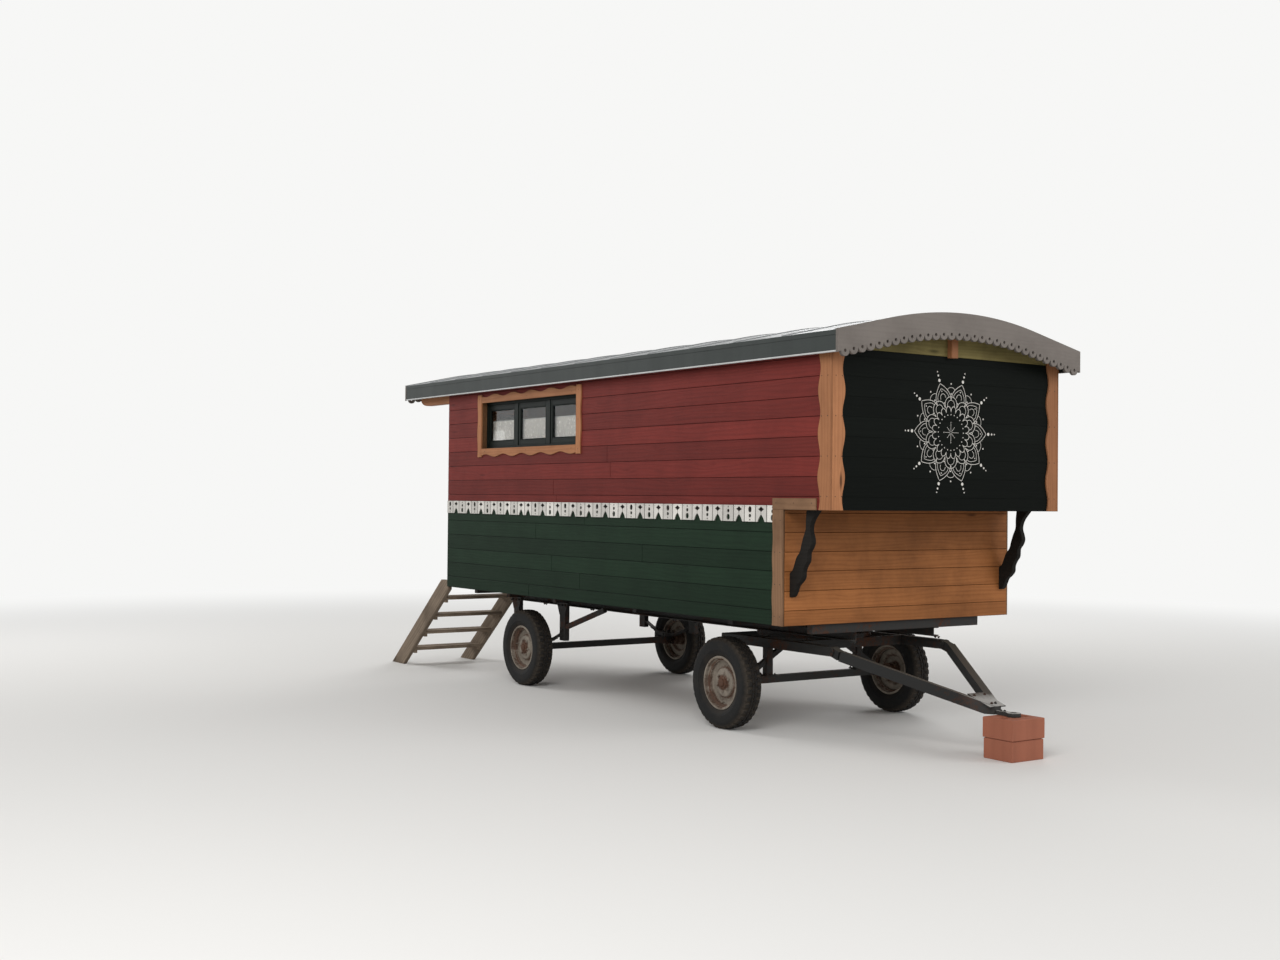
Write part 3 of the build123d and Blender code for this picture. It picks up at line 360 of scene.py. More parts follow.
def plate(loops, thick, chamfer=0.002, bothFaces=True):
    # A flat piece on the XY plane from its outline and holes, with chamfered rims.
    loops = [loop if (signedArea(loop) > 0) == (k == 0) else loop[::-1] for k, loop in enumerate(loops)]
    levels = [(0.0, chamfer), (chamfer, 0.0)] if bothFaces else [(0.0, 0.0)]
    levels += [(thick - chamfer, 0.0), (thick, chamfer)]
    rings = [[inset(loop, distance) for loop in loops] for _, distance in levels]
    count = sum(len(loop) for loop in loops)
    points = []
    for (height, _), ring in zip(levels, rings):
        points += [Vector((p.x, p.y, height)) for loop in ring for p in loop]
    faces = []
    start = 0
    for loop in loops:
        size = len(loop)
        for level in range(len(levels) - 1):
            base = start + level * count
            for k in range(size):
                after = (k + 1) % size
                faces.append([base + k, base + after, base + after + count, base + k + count])
        start += size
    for level, downward in ((0, True), (len(levels) - 1, False)):
        flat = [[Vector((p.x, p.y, 0)) for p in loop] for loop in rings[level]]
        for triangle in tessellate_polygon(flat):
            corners = [index + level * count for index in triangle]
            a, b, c = (points[index] for index in corners)
            upward = (b - a).cross(c - a).z > 0
            faces.append(corners if upward != downward else corners[::-1])
    return points, faces


def ringFaces(steps, size, closed=False):
    # Faces between the rings of a shape turned about Z, whose profile may be a closed loop.
    faces = []
    for k in range(steps):
        here, there = k * size, (k + 1) % steps * size
        for j in range(size if closed else size - 1):
            after = (j + 1) % size
            faces.append([here + j, there + j, there + after, here + after])
    return faces


def turned(profile, steps):
    # A profile of (radius, height) turned about Z.
    angles = [2 * math.pi * k / steps for k in range(steps)]
    points = [Vector((r * math.cos(a), r * math.sin(a), z)) for a in angles for r, z in profile]
    return points, ringFaces(steps, len(profile))


def upright(radius, low, high, x=0.0, y=0.0, steps=20, ease=0.001):
    # A pin or eye standing on end, its rims eased.
    profile = [(0.0001, low), (radius - ease, low), (radius, low + ease), (radius, high - ease),
               (radius - ease, high), (0.0001, high)]
    points, faces = turned(profile, steps)
    return [point + Vector((x, y, 0)) for point in points], faces


def moved(shape, matrix):
    return [matrix @ point for point in shape[0]], shape[1]


def nutShape(radius, height, cap=0.7):
    # A hexagon nut on its stud, standing on the XY plane.
    points, faces = plate([circle((0, 0), radius, 6)], height, radius * 0.12)
    top = height * (1 + cap)
    profile = [(radius * 0.5, 0), (radius * 0.5, top), (radius * 0.4, top + 0.001), (0.0001, top + 0.001)]
    stud, studFaces = turned(profile, 12)
    return points + stud, faces + [[index + len(points) for index in face] for face in studFaces]


def axes(origin, along, across):
    # Where a shape's own X and Y go.
    along, across = Vector(along).normalized(), Vector(across).normalized()
    matrix = Matrix((along, across, along.cross(across))).transposed().to_4x4()
    matrix.translation = Vector(origin)
    return matrix


def frontward(x, y=0.0, z=0.0):
    # Shape X goes across the wagon, Y up, thickness towards the front.
    return axes((x, y, z), leftAxis, upAxis)


def sideward(x, y, z=0.0):
    # Shape X goes along the wagon, Y up, thickness towards the right.
    return axes((x, y, z), forwardAxis, upAxis)


def upwards(x, y, z):
    return Matrix.Translation((x, y, z))


def downwards(x, y, z):
    return upwards(x, y, z) @ Matrix.Rotation(math.pi, 4, "X")


def outwards(x, y, z):
    # A stud's own Z points away from the wagon's middle plane.
    return upwards(x, y, z) @ Matrix.Rotation(math.copysign(math.pi / 2, -y), 4, "X")


def spansOf(name):
    # Where a piece of the frame begins and ends on each axis.
    return list(zip(*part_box(name)))


def middleOf(name):
    low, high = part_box(name)
    return (low + high) / 2


def ends(span, width):
    # The strips of one width at both ends of a span.
    return (span[0], span[0] + width), (span[1] - width, span[1])


def newShift():
    return Vector([chance.uniform(0, 40) for _ in range(3)])


class Joinery:
    # Gathers shapes into one piece. Each keeps its own grain and tone.
    def __init__(self, name):
        self.name = name
        self.points, self.faces, self.grains, self.tones, self.edges = [], [], [], [], []

    def add(self, shape, place=None, tone=None, shift=None):
        points, faces = shape
        tone = chance.random() if tone is None else tone
        shift = newShift() if shift is None else shift
        start = len(self.points)
        low, high = min(point.z for point in points), max(point.z for point in points)
        self.points += [place @ point for point in points] if place else points
        self.grains += [point + shift for point in points]
        # Points off the shape's lowest and highest level mark its rims, where woodFinish paints shade.
        self.edges += [0.0 if min(point.z - low, high - point.z) < 1e-6 else 1.0 for point in points]
        self.tones += [tone] * len(points)
        self.faces += [[index + start for index in face] for face in faces]

    def build(self, finish, slot, replaces=(), body="wagon", smooth=35):
        mesh = bpy.data.meshes.new(self.name)
        mesh.from_pydata(self.points, [], self.faces)
        grain = mesh.attributes.new("grain", "FLOAT_VECTOR", "POINT")
        grain.data.foreach_set("vector", [c for point in self.grains for c in point])
        for name, values in (("tone", self.tones), ("edge", self.edges)):
            mesh.attributes.new(name, "FLOAT", "POINT").data.foreach_set("value", values)
        mesh.polygons.foreach_set("use_smooth", [True] * len(mesh.polygons))
        mesh.set_sharp_from_angle(angle=math.radians(smooth))
        mesh.materials.append(finishes[finish])
        piece = bpy.data.objects.new(self.name, mesh)
        bpy.context.scene.collection.objects.link(piece)
        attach(piece, body)
        if replaces:
            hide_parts(*replaces)
        return piece


def panel(joinery, x, y, z, along="X", chamfer=0.002, thick="Y"):
    # A board between two places on each axis, its grain along one axis and its thickness along another.
    directions = {"X": forwardAxis, "Y": leftAxis, "Z": upAxis}
    first, normal = directions[along], directions[thick]
    second = normal.cross(first)
    low, high = (Vector(corner) for corner in zip(x, y, z))
    centre, size = (low + high) / 2, high - low
    length, width, depth = (abs(size.dot(direction)) for direction in (first, second, normal))
    place = axes(centre - normal * depth / 2, first, second)
    joinery.add(plate([rectangle(length, width, -length / 2, -width / 2)], depth, chamfer), place)


# Roof, whose line the walls' upper edges follow
roof = {
    "angle": math.radians(12.5),
    "crownHalf": 0.764,
    "thick": 0.04,
    "soffitBoard": 0.118,
    "soffitThick": 0.014,
    "sheetDepth": 0.007,
    "seamPitch": 0.58,
    "seamWidth": 0.014,
    "fascia": 0.02,
    "lip": 0.034,
    "lipThick": 0.003,
    "drip": 0.007,
    "dripThick": 0.002,
    "dripReach": 0.024,
    "clear": 0.0005,
    "tuck": 0.001,
    "chamfer": 0.0015,
}
crownRadius = roof["crownHalf"] / math.sin(roof["angle"])
crownCentre = roofHigh.z - crownRadius


def roofLine(depth, across):
    # Height of the roof at a place across, some way under its top: an arc, then straight.
    radius = crownRadius - depth
    edge = radius * math.sin(roof["angle"])
    if abs(across) < edge:
        return crownCentre + math.sqrt(radius ** 2 - across ** 2)
    return crownCentre + radius * math.cos(roof["angle"]) - (abs(across) - edge) * math.tan(roof["angle"])


def roofPoints(depth, half, arcCount=28):
    # Points along that line from one side to the other.
    edge = (crownRadius - depth) * math.sin(roof["angle"])
    inner = [edge * (2 * k / arcCount - 1) for k in range(arcCount + 1)]
    return [Vector((y, roofLine(depth, y))) for y in [-half] + inner + [half]]


def roofBand(depth, lower, half, length):
    # The strip between two depths, as long as the piece is.
    return plate([roofPoints(depth, half) + roofPoints(lower, half)[::-1]], length, roof["chamfer"])


def makeRoof():
    length, depth = roofHigh.x - roofLow.x, roof["sheetDepth"]
    sheet, soffit = Joinery("roofSheet"), Joinery("soffitBoards")
    under = roof["thick"] - roof["soffitThick"]
    sheet.add(roofBand(depth, under, roofHalf - roof["lipThick"], length), frontward(roofLow.x))
    count = round(length / roof["seamPitch"])
    seam = roofBand(0, depth + roof["clear"], roofHalf, roof["seamWidth"])
    for k in range(count + 1):
        sheet.add(seam, frontward(roofLow.x + k * (length - roof["seamWidth"]) / count))
    sheet.build("sheet", "roof_sheet", ["roof_shell"])
    half = roofHalf - roof["lipThick"] - roof["clear"]
    count = round(2 * half / roof["soffitBoard"])
    pitch = 2 * half / count
    for k in range(count):
        y = -half + (k + 0.5) * pitch
        slope = math.atan2(roofLine(roof["thick"], y + 0.01) - roofLine(roof["thick"], y - 0.01), 0.02)
        width = pitch / math.cos(slope)
        board = plate([rectangle(length, width, 0, -width / 2)], roof["soffitThick"])
        across = (0, math.cos(slope), math.sin(slope))
        soffit.add(board, axes((roofLow.x, y, roofLine(roof["thick"], y)), forwardAxis, across))
    soffit.build("soffit", "roof_sheet")
    print("roof made")


def makeRoofEdges():
    # The sheet is folded down over the side fascias, and a bright strip drips along their lower edge.
    boards, lips, strips = Joinery("sideFascias"), Joinery("roofLips"), Joinery("dripStrips")
    bottom, thick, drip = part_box("side_fascias")[0].z, roof["lipThick"], roof["dripThick"]
    top = roofLine(roof["sheetDepth"], roofHalf) - roof["tuck"]
    soffit = roofLine(roof["thick"], roofHalf) - roof["clear"]
    # piece, outer and inner distance from the roof's side, lower and upper edge, chamfer, thickness along
    edges = (
        (boards, thick, roof["fascia"], bottom, soffit, roof["chamfer"], "Y"),
        (lips, 0, thick, top - roof["lip"], top, 0.0008, "Y"),
        (strips, 0, thick, bottom - drip, bottom + roof["drip"], 0.0008, "Y"),
        (strips, 0, roof["dripReach"], bottom - 2 * drip, bottom - drip, 0.0006, "Z"),
    )
    for side in (-1, 1):
        for piece, outer, inner, low, high, chamfer, normal in edges:
            y = (side * (roofHalf - outer), side * (roofHalf - inner))
            panel(piece, (roofLow.x, roofHigh.x), y, (low, high), "X", chamfer, normal)
    boards.build("slate", "slate_paint", ["side_fascias"])
    lips.build("slate", "slate_paint")
    strips.build("strip", "roof_sheet")


makeRoof()
makeRoofEdges()

# Cladding over the walls
cladding = {
    "stand": 0.005,
    "chamfer": 0.0042,
    "closeChamfer": 0.0011,
    "longest": 4.2,
    "seam": (0.3, 0.7),
    "lowest": 0.01,
    "sliver": 0.004,
    "backing": 0.001,
    "gableFoot": 2.957,
    "joint": 1.029,
    "upperJoint": 0.098,
    "underRoof": 0.002,
}


def cutRow(span, low, high, hole):
    # The parts of a row of boards that a hole leaves: start, end, lower and upper edge.
    if hole is None or hole[2] >= high or hole[3] <= low:
        return [(*span, low, high)]
    parts = [(span[0], hole[0], low, high), (hole[1], span[1], low, high)]
    if hole[2] > low:
        parts.append((hole[0], hole[1], low, hole[2]))
    if hole[3] < high:
        parts.append((hole[0], hole[1], hole[3], high))
    return parts


def cladWall(name, place, span, heights, joint, looks, hole=None, topLine=None, chamfer=cladding["chamfer"]):
    # Horizontal boards on a wall whose X runs along it and whose Y goes up, with a joint at one height.
    wall = Joinery(name)
    thick = cladding["stand"] + cladding["backing"]
    rows, lowest = [heights[0]], cladding["lowest"]
    while joint < heights[1] - lowest:
        if joint > heights[0] + lowest:
            rows.append(joint)
        joint += boardPitch
    rows.append(heights[1])
    for low, high in zip(rows, rows[1:]):
        tone, shift = chance.random(), newShift()
        seam = span[0] + (span[1] - span[0]) * chance.uniform(*cladding["seam"])
        for start, end, bottom, top in cutRow(span, low, high, hole):
            places = [start, seam, end] if end - start > cladding["longest"] else [start, end]
            for first, last in zip(places, places[1:]):
                loop = rowOutline(first, last, bottom, top, topLine)
                if loop:
                    wall.add(plate([loop], thick, chamfer, False), place, tone, shift)
    wall.build(*looks)


def rowOutline(first, last, bottom, top, topLine, count=24):
    # A board's outline, cut along the line of the roof where it reaches it.
    if topLine is None or min(topLine(first), topLine(last)) >= top:
        return rectangle(last - first, top - bottom, first, bottom)
    places = [first + (last - first) * k / count for k in range(count + 1)]
    inside = [y for y in places if topLine(y) > bottom + cladding["sliver"]]
    if len(inside) < 3:
        return None
    loop = [Vector((inside[0], bottom)), Vector((inside[-1], bottom))]
    return loop + [Vector((y, min(top, topLine(y)))) for y in reversed(inside)]


def underRoof(across):
    return roofLine(roof["thick"], across) - cladding["underRoof"]


def mirrored(area):
    return -area[1], -area[0], *area[2:]


def makeCladding():
    back, rear = cladding["backing"], xRear - cladding["stand"]
    green, red = ("green", "green_boards"), ("red", "red_boards")
    lower, upper = (wallBottom, alcoveBottom), (alcoveBottom, underRoof(halfWall))
    joint, upperJoint = cladding["joint"], alcoveBottom + cladding["upperJoint"]
    low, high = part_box("window_frames")
    for side, word in sides:
        place = axes((0, side * (halfWall - back), 0), (-side, 0, 0), upAxis)
        areas = (rear, xFront), (rear, xUpper), (low.x, high.x, low.z, high.z)
        lowerSpan, upperSpan, hole = areas if side < 0 else map(mirrored, areas)
        cladWall("lowerCladding" + word, place, lowerSpan, lower, joint, green)
        cladWall("upperCladding" + word, place, upperSpan, upper, upperJoint, red, hole)
    span, top, foot = (-halfWall, halfWall), roofLine(roof["thick"], 0), cladding["gableFoot"]
    cladWall("lowerCladdingFront", frontward(xFront - back), span, lower, joint, ("pine", "pine_boards"))
    place = frontward(xUpper - back)
    cladWall("upperCladdingFront", place, span, (alcoveBottom, foot), upperJoint, ("black", "black_boards"),
             chamfer=cladding["closeChamfer"])
    cladWall("gableBoards", place, span, (foot, top), foot, ("soffit", "pine_boards"), topLine=underRoof)
    place = axes((xRear + back, 0, 0), -leftAxis, upAxis)
    low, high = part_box("door_frame")
    hole = mirrored((low.y, high.y, floorTop, high.z))
    cladWall("lowerCladdingRear", place, span, lower, joint, green, hole)
    cladWall("upperCladdingRear", place, span, (alcoveBottom, top), upperJoint, red, hole, underRoof)
    print("cladding made")


makeCladding()

# End fascias, arched and scalloped
fascia = {
    "depth": 0.165,
    "lobePitch": 0.082,
    "lobeRadius": 0.041,
    "lobeShare": 0.985,
    "lobeTurn": (1.04 * math.pi, 1.96 * math.pi),
    "lobeSteps": 9,
    "hole": 0.012,
}


def makeEndFascia(end):
    low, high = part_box(end + "_fascia")
    radius, pitch, foot = fascia["lobeRadius"], fascia["lobePitch"], roofLine(fascia["depth"], roofHalf)
    count = int((roofHalf - radius) / pitch + 1e-6)
    outline = roofPoints(0, roofHalf)[::-1] + [Vector((-roofHalf, foot))]
    holes = []
    for k in range(-count, count + 1):
        centre = Vector((k * pitch, roofLine(fascia["depth"], k * pitch)))
        outline += arcPoints(centre, radius * fascia["lobeShare"], *fascia["lobeTurn"], fascia["lobeSteps"])
        holes.append(circle(centre, fascia["hole"], 12))
    outline.append(Vector((roofHalf, foot)))
    board = Joinery(end + "Fascia")
    board.add(plate([outline] + holes, high.x - low.x, roof["chamfer"]), frontward(low.x))
    board.build("taupe", "taupe_paint", [end + "_fascia"])


makeEndFascia("front")
makeEndFascia("rear")
print("end fascias made")

# Boards with a wavy edge
trim = {
    "width": 0.124,
    "wave": 0.014,
    "wavePitch": 0.305,
    "waveSteps": 16,
    # how much, how fast and from where the wave's height drifts
    "drift": (0.08, 2.3, 1.1),
    "lowerWave": 0.004,
    "underRoof": 0.002,
    "edgeTrim": 0.086,
    "chamfer": 0.0025,
}


def wavyBoard(length, width, swing, pitch=trim["wavePitch"]):
    # Straight along y = 0, wavy about the mean width.
    lobes = max(1, round(length / pitch))
    count = lobes * trim["waveSteps"]
    share, pace, start = trim["drift"]
    edge = []
    for k in range(count + 1):
        x = length * k / count
        drift = share * math.sin(pace * x / pitch + start)
        wave = swing * (1 - abs(drift)) * math.sin(2 * math.pi * lobes * x / length)
        edge.append(Vector((x, width - swing - wave)))
    return plate([[Vector((0, 0)), Vector((length, 0))] + edge[::-1]], boardThick, trim["chamfer"])


def makeCornerBoards():
    boards, lowerBoards = Joinery("cornerBoards"), Joinery("alcoveTrim")
    outer, width, wave = halfWall + boardThick, trim["width"], trim["wave"]
    height = roofLine(roof["thick"], outer) - trim["underRoof"] - alcoveBottom
    wide, slim = wavyBoard(height, width + boardThick, wave), wavyBoard(height, width, wave)
    lower = wavyBoard(alcoveBottom - wallBottom, width, trim["lowerWave"])
    start = xFront - width
    strip = plate([rectangle(xUpper - width - wave - start, trim["edgeTrim"])], boardThick, trim["chamfer"])
    for side in (-1, 1):
        y = outer if side > 0 else -halfWall
        front = xUpper + boardThick if side < 0 else xUpper
        boards.add(wide, axes((xUpper + boardThick, y, alcoveBottom), upAxis, -forwardAxis))
        lowerBoards.add(lower, axes((xFront, y, wallBottom), upAxis, -forwardAxis))
        boards.add(slim, axes((front, side * halfWall, alcoveBottom), upAxis, (0, -side, 0)))
        lowerBoards.add(strip, sideward(start, y, alcoveBottom))
    boards.build("trim", "pine_trim", ["corner_boards"])
    # The lower corner boards and the alcove's edge strip take the darker copy of the trim, as painted shade
    # under the overhang.
    lowerBoards.build("weathered", "pine_trim", ["corner_boards"])


makeCornerBoards()
print("corner boards made")

# Purlins at the ridge, a ridge end seen in the gable and eave plates under the rear overhang
purlins = {
    "width": 0.08,
    "depth": 0.12,
    "cut": 0.055,
    "ridgeEnd": 0.07,
    "ridgeFoot": 2.947,
    "ridgeStand": 0.05,
    "plate": 0.06,
    "plateReach": 0.68,
    "toe": (0.16, 0.07),
    "chamfer": 0.003,
}


def makePurlins():
    beams = Joinery("purlins")
    half, under = purlins["width"] / 2, roofLine(roof["thick"], 0) - roof["tuck"]
    low, cut, chamfer = under - purlins["depth"], purlins["cut"], purlins["chamfer"]
    for start, end, free in ((roofLow.x, xRear, -1), (xUpper, roofHigh.x, 1)):
        length = end - start
        loop = [Vector((0, low))] + arcPoints((length - cut, low + cut), cut, -math.pi / 2, 0, 6)
        loop += [Vector((length, under)), Vector((0, under))]
        if free < 0:
            loop = [Vector((length - p.x, p.y)) for p in loop]
        beams.add(plate([loop], purlins["width"], chamfer), sideward(start, half))
    reach, foot = purlins["ridgeEnd"] / 2, purlins["ridgeFoot"]
    panel(beams, (xUpper, xUpper + purlins["ridgeStand"]), (-reach, reach), (foot, under), "Z", chamfer)
    top, foot = roofLine(roof["thick"], halfWall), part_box("roof_purlins")[0].z
    tip, (run, rise) = xRear - purlins["plateReach"], purlins["toe"]
    loop = [Vector((xRear, foot)), Vector((xRear, top)), Vector((tip, top))]
    for p in arcPoints((0, 0), 1, 0, math.pi / 2, 8):
        loop.append(Vector((tip + run * (1 - p.x), foot + rise * (1 - p.y))))
    shape = plate([loop], purlins["plate"], chamfer)
    for y in (purlins["plate"] - halfWall, halfWall):
        beams.add(shape, sideward(0, y))
    beams.build("trim", "pine_trim", ["roof_purlins"])


makePurlins()

# Fretted planks between the two bodies, over a dark strip of painted shade
fret = {
    "pitch": 0.133,
    "double": 12,
    "gap": 0.0075,
    "thick": 0.012,
    "chamfer": 0.0009,
    "lean": 0.005,
    # the dark strip behind the band, painted shade for the holes: its heights, its reach off the cladding and
    # its ends' setback
    "backing": (1.748, 1.812),
    "shadeStripReach": (-0.001, 0.0015),
    "shadeStripEnd": 0.002,
    # drop below the upper edge, half width, half height
    "holes": ((0.033, 0.0195, 0.0235), (0.081, 0.014, 0.014), (0.112, 0.0065, 0.0065)),
    "starDrop": 0.031,
    "starHalf": 0.023,
    "starReach": 0.036,
    "starSteps": 20,
    "hollow": 2.4,
    "slit": 0.004,
    "notchHalf": 0.042,
    "notchHeight": 0.056,
    "notchBow": 0.55,
    "notchSteps": 6,
}


def starPlank(width, height):
    # An arched notch between two legs, joined by a slit to a star with hollow sides.
    half, slit, notch, centre = width / 2, fret["slit"] / 2, fret["notchHeight"], height - fret["starDrop"]
    arch, count, bow = [], fret["notchSteps"], fret["notchBow"]
    for share in (k / count - 1 for k in range(count)):
        rise = (1 - bow) * (1 - abs(share)) + bow * (1 - share ** 2)
        arch.append(Vector((notch * rise, fret["notchHalf"] * share)))
    star, count = [], fret["starSteps"]
    for k in range(1, count):
        up, across = (-f(2 * math.pi * k / count) for f in (math.cos, math.sin))
        x = centre + fret["starHalf"] * math.copysign(abs(up) ** fret["hollow"], up)
        y = fret["starReach"] * math.copysign(abs(across) ** fret["hollow"], across)
        if abs(y) > slit or x > centre:
            star.append(Vector((x, y)))
    foot = [Vector((0, -half))] + arch + [Vector((notch - slit, -slit))]
    foot += star + [Vector((notch - slit, slit))] + [Vector((p.x, -p.y)) for p in reversed(arch)]
    return [foot + [Vector((0, half)), Vector((height, half)), Vector((height, -half))]]


def holedPlank(width, height, growing, cut):
    # Three holes one over the other. X goes up the plank; one that is cut keeps only half its width.
    half = width / 2
    holes = [(drop if growing else height - drop, across, tall) for drop, across, tall in fret["holes"]]
    if not cut:
        return [rectangle(height, width, 0, -half)] + [
            [Vector((x + p.x * tall, p.y * across)) for p in circle((0, 0), 1)] for x, across, tall in holes]
    outline = [Vector((0, 0)), Vector((0, cut * half)), Vector((height, cut * half)), Vector((height, 0))]
    for x, across, tall in sorted(holes, reverse=True):
        outline += [Vector((x + p.x * tall, cut * p.y * across)) for p in arcPoints((0, 0), 1, 0, math.pi, 9)]
    return [outline]


def fretPlanks():
    # The pitch, and each plank's place and kind from the rear. Two starred planks stand side by side once.
    low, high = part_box("fret_bands")
    count = round((high.x - low.x) / fret["pitch"])
    pitch = (high.x - low.x) / (count - 0.5)
    kinds = ["star" if (k % 2 == 1) == (k < fret["double"]) else "holes" for k in range(count)]
    return pitch, [(low.x + (k + 0.5) * pitch, kind) for k, kind in enumerate(kinds)]


def makeFretBands():
    low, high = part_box("fret_bands")
    height, thick, end = high.z - low.z, fret["thick"], fret["shadeStripEnd"]
    pitch, planks = fretPlanks()
    width = pitch - fret["gap"]
    for side, word in sides:
        band, backing = Joinery("fretBand" + word), Joinery("fretShadeStrip" + word)
        # A dark strip behind the planks: painted shade that makes their holes read dark.
        y = [side * (halfWall + cladding["stand"] + reach) for reach in fret["shadeStripReach"]]
        panel(backing, (low.x + end, high.x - end), y, fret["backing"], "X", 0.0003)
        backing.build("dark", "dark_wood")
        growing = False
        for k, (x, kind) in enumerate(planks):
            if kind == "star":
                loops = starPlank(width, height)
            else:
                loops = holedPlank(width, height, growing, -side if k == len(planks) - 1 else 0)
                growing = not growing
            lean = Matrix.Rotation(chance.uniform(-fret["lean"], fret["lean"]), 4, "Z")
            place = axes((x, side * (high.y - thick), low.z), upAxis, (side, 0, 0))
            band.add(plate(loops, thick, fret["chamfer"]), place @ lean)
        band.build("white", "white_paint", ["fret_bands"])


makeFretBands()
print("fretted bands made")

# White line drawing on the black front: rings of petals, scallops and dots
rosette = {
    "centre": (0.006, 2.382),
    "fold": 10,
    "line": 0.004,
    "fineLine": 0.0031,
    "relief": 0.0006,
    "wobble": (0.06, 1.7),
    "point": (0.38, 1.7),
    "armLine": 0.00248,
    "rays": ((0.412, 0.0125), (0.45, 0.0082), (0.48, 0.0055)),
    "ring": (24, 0.136, 0.0046),
    "arms": (0.07, 0.046),
    "armFoot": 0.008,
    "armDot": (0.007, 0.0032),
    # share of a turn between petals, half width, foot and tip radius, pointed or not, fine or not
    "petals": (
        (0.25, 0.25, 0.155, 0.2, False, False),
        (0.75, 0.25, 0.155, 0.2, False, False),
        (0.0, 0.5, 0.194, 0.274, False, False),
        (0.0, 0.3, 0.2, 0.246, False, True),
        (0.5, 0.5, 0.246, 0.386, True, False),
        (0.5, 0.36, 0.266, 0.348, True, True),
        (0.5, 0.16, 0.27, 0.306, False, True),
        (0.0, 0.2, 0.32, 0.344, False, True),
    ),
    # share of a turn, radius, size
    "dots": ((0.0, 0.295, 0.006), (0.5, 0.234, 0.0048), (0.0, 0.372, 0.0065), (0.5, 0.326, 0.0048)),
}


def ribbon(path, width):
    # A thin flat bar along a path of points on the XY plane.
    points, faces = [], []
    last, (share, pace) = len(path) - 1, rosette["wobble"]
    for k, point in enumerate(path):
        run = (path[min(k + 1, last)] - path[max(k - 1, 0)]).normalized()
        half = Vector((-run.y, run.x)) * width / 2 * (1 + share * math.sin(k * pace))
        for side, height in ((half, 0), (half, rosette["relief"]), (-half, rosette["relief"]), (-half, 0)):
            points.append(Vector((point.x + side.x, point.y + side.y, height)))
    for here in range(0, 4 * last, 4):
        for j in range(4):
            after = (j + 1) % 4
            faces.append([here + j, here + after, here + 4 + after, here + 4 + j])
    return points, faces + [[3, 2, 1, 0], [4 * last + j for j in range(4)]]


def polar(radius, angle):
    return Vector((radius * math.sin(angle), radius * math.cos(angle)))


def petal(angle, half, inner, outer, pointed, steps=20):
    # From one foot over the tip to the other, round or drawn out to a point.
    path, (sharp, power) = [], rosette["point"]
    for k in range(steps + 1):
        share = 2 * k / steps - 1
        rise = math.sqrt(1 - share ** 2)
        if pointed:
            rise = (1 - sharp) * rise + sharp * (1 - abs(share)) ** power
        path.append(polar(inner + (outer - inner) * rise, angle + half * share))
    return path


def makeRosette():
    drawing = Joinery("rosette")
    face = frontward(xUpper + cladding["stand"] - 0.0001, *rosette["centre"])
    turn = 2 * math.pi / rosette["fold"]

    def dot(radius, angle, size):
        loop = circle(polar(radius, angle), size, 12)
        drawing.add(plate([loop], rosette["relief"], 0.0001, False), face, 0.5)

    for k in range(rosette["fold"]):
        for share, half, foot, tip, pointed, fine in rosette["petals"]:
            path = petal((k + share) * turn, half * turn, foot, tip, pointed)
            drawing.add(ribbon(path, rosette["fineLine" if fine else "line"]), face, 0.5)
        for share, radius, size in rosette["dots"] + tuple((0.5, *ray) for ray in rosette["rays"]):
            dot(radius, (k + share) * turn, size)
    count, radius, size = rosette["ring"]
    for k in range(count):
        dot(radius, 2 * math.pi * k / count, size)
    gap, size = rosette["armDot"]
    for k in range(8):
        angle, reach = math.pi / 4 * k, rosette["arms"][k % 2]
        arm = [polar(rosette["armFoot"], angle), polar(reach, angle)]
        drawing.add(ribbon(arm, rosette["armLine"]), face, 0.5)
        dot(reach + gap, angle, size)
    drawing.build("white", "white_paint")


makeRosette()
print("rosette made")

# Windows: a fixed frame, three sashes with beads, wavy boards round them and lace inside
window = {
    "thick": 0.045,
    "fixed": 0.03,
    "sashStile": 0.033,
    "sashRail": 0.052,
    "setBack": 0.007,
    "bead": 0.009,
    "glassThick": 0.006,
    "chamfer": 0.0025,
    "boardWidth": 0.085,
    "wave": 0.014,
    "stileWave": 0.006,
    "wavePitch": 0.37,
}
lace = {
    "across": 90,
    "down": 24,
    "lap": 0.02,
    "fold": 0.0028,
    "foldPitch": 0.052,
    "sway": (1.3, 9),
    "gathered": 0.55,
    "ripple": 0.4,
    "ripplePitch": 0.019,
    "rippleShift": 4,
    "rod": 0.004,
    "rodStand": 0.006,
}


def lightSpans():
    low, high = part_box("window_frames")
    pitch = (high.x - low.x) / 3
    side = window["fixed"] + window["sashStile"]
    return [(low.x + k * pitch + side, low.x + (k + 1) * pitch - side) for k in range(3)]


def makeWindow(side, word):
    wide, (_, outer), tall = spansOf("window_frames")
    sashes, spans = Joinery("windowFrame" + word), lightSpans()
    thick, back, fixed, bead, stile, rail = (window[name] for name in (
        "thick", "setBack", "fixed", "bead", "sashStile", "sashRail"))

    def member(x, z, along, back=0.0, depth=thick):
        y = [side * (outer - reach) for reach in (back, back + depth)]
        panel(sashes, x, y, z, along, window["chamfer"])

    def surround(x, z, width, *depths):
        for edge in ends(z, width):
            member(x, edge, "X", *depths)
        for edge in ends(x, width):
            member(edge, (z[0] + width, z[1] - width), "Z", *depths)

    surround(wide, tall, fixed)
    inside = (tall[0] + fixed, tall[1] - fixed)
    for (_, end), (start, _) in zip(spans, spans[1:]):
        member((end + stile, start - stile), inside, "Z")
    glass = (inside[0] + rail, inside[1] - rail)
    for start, end in spans:
        for edge in ends((start - stile, end + stile), stile):
            member(edge, inside, "Z", back, thick - back)
        for edge in ends(inside, rail):
            member((start, end), edge, "X", back, thick - back)
        surround((start, end), glass, bead, (thick - window["glassThick"]) / 2 - bead, bead)
    sashes.build("frame", "black_frame", ["window_frames"])


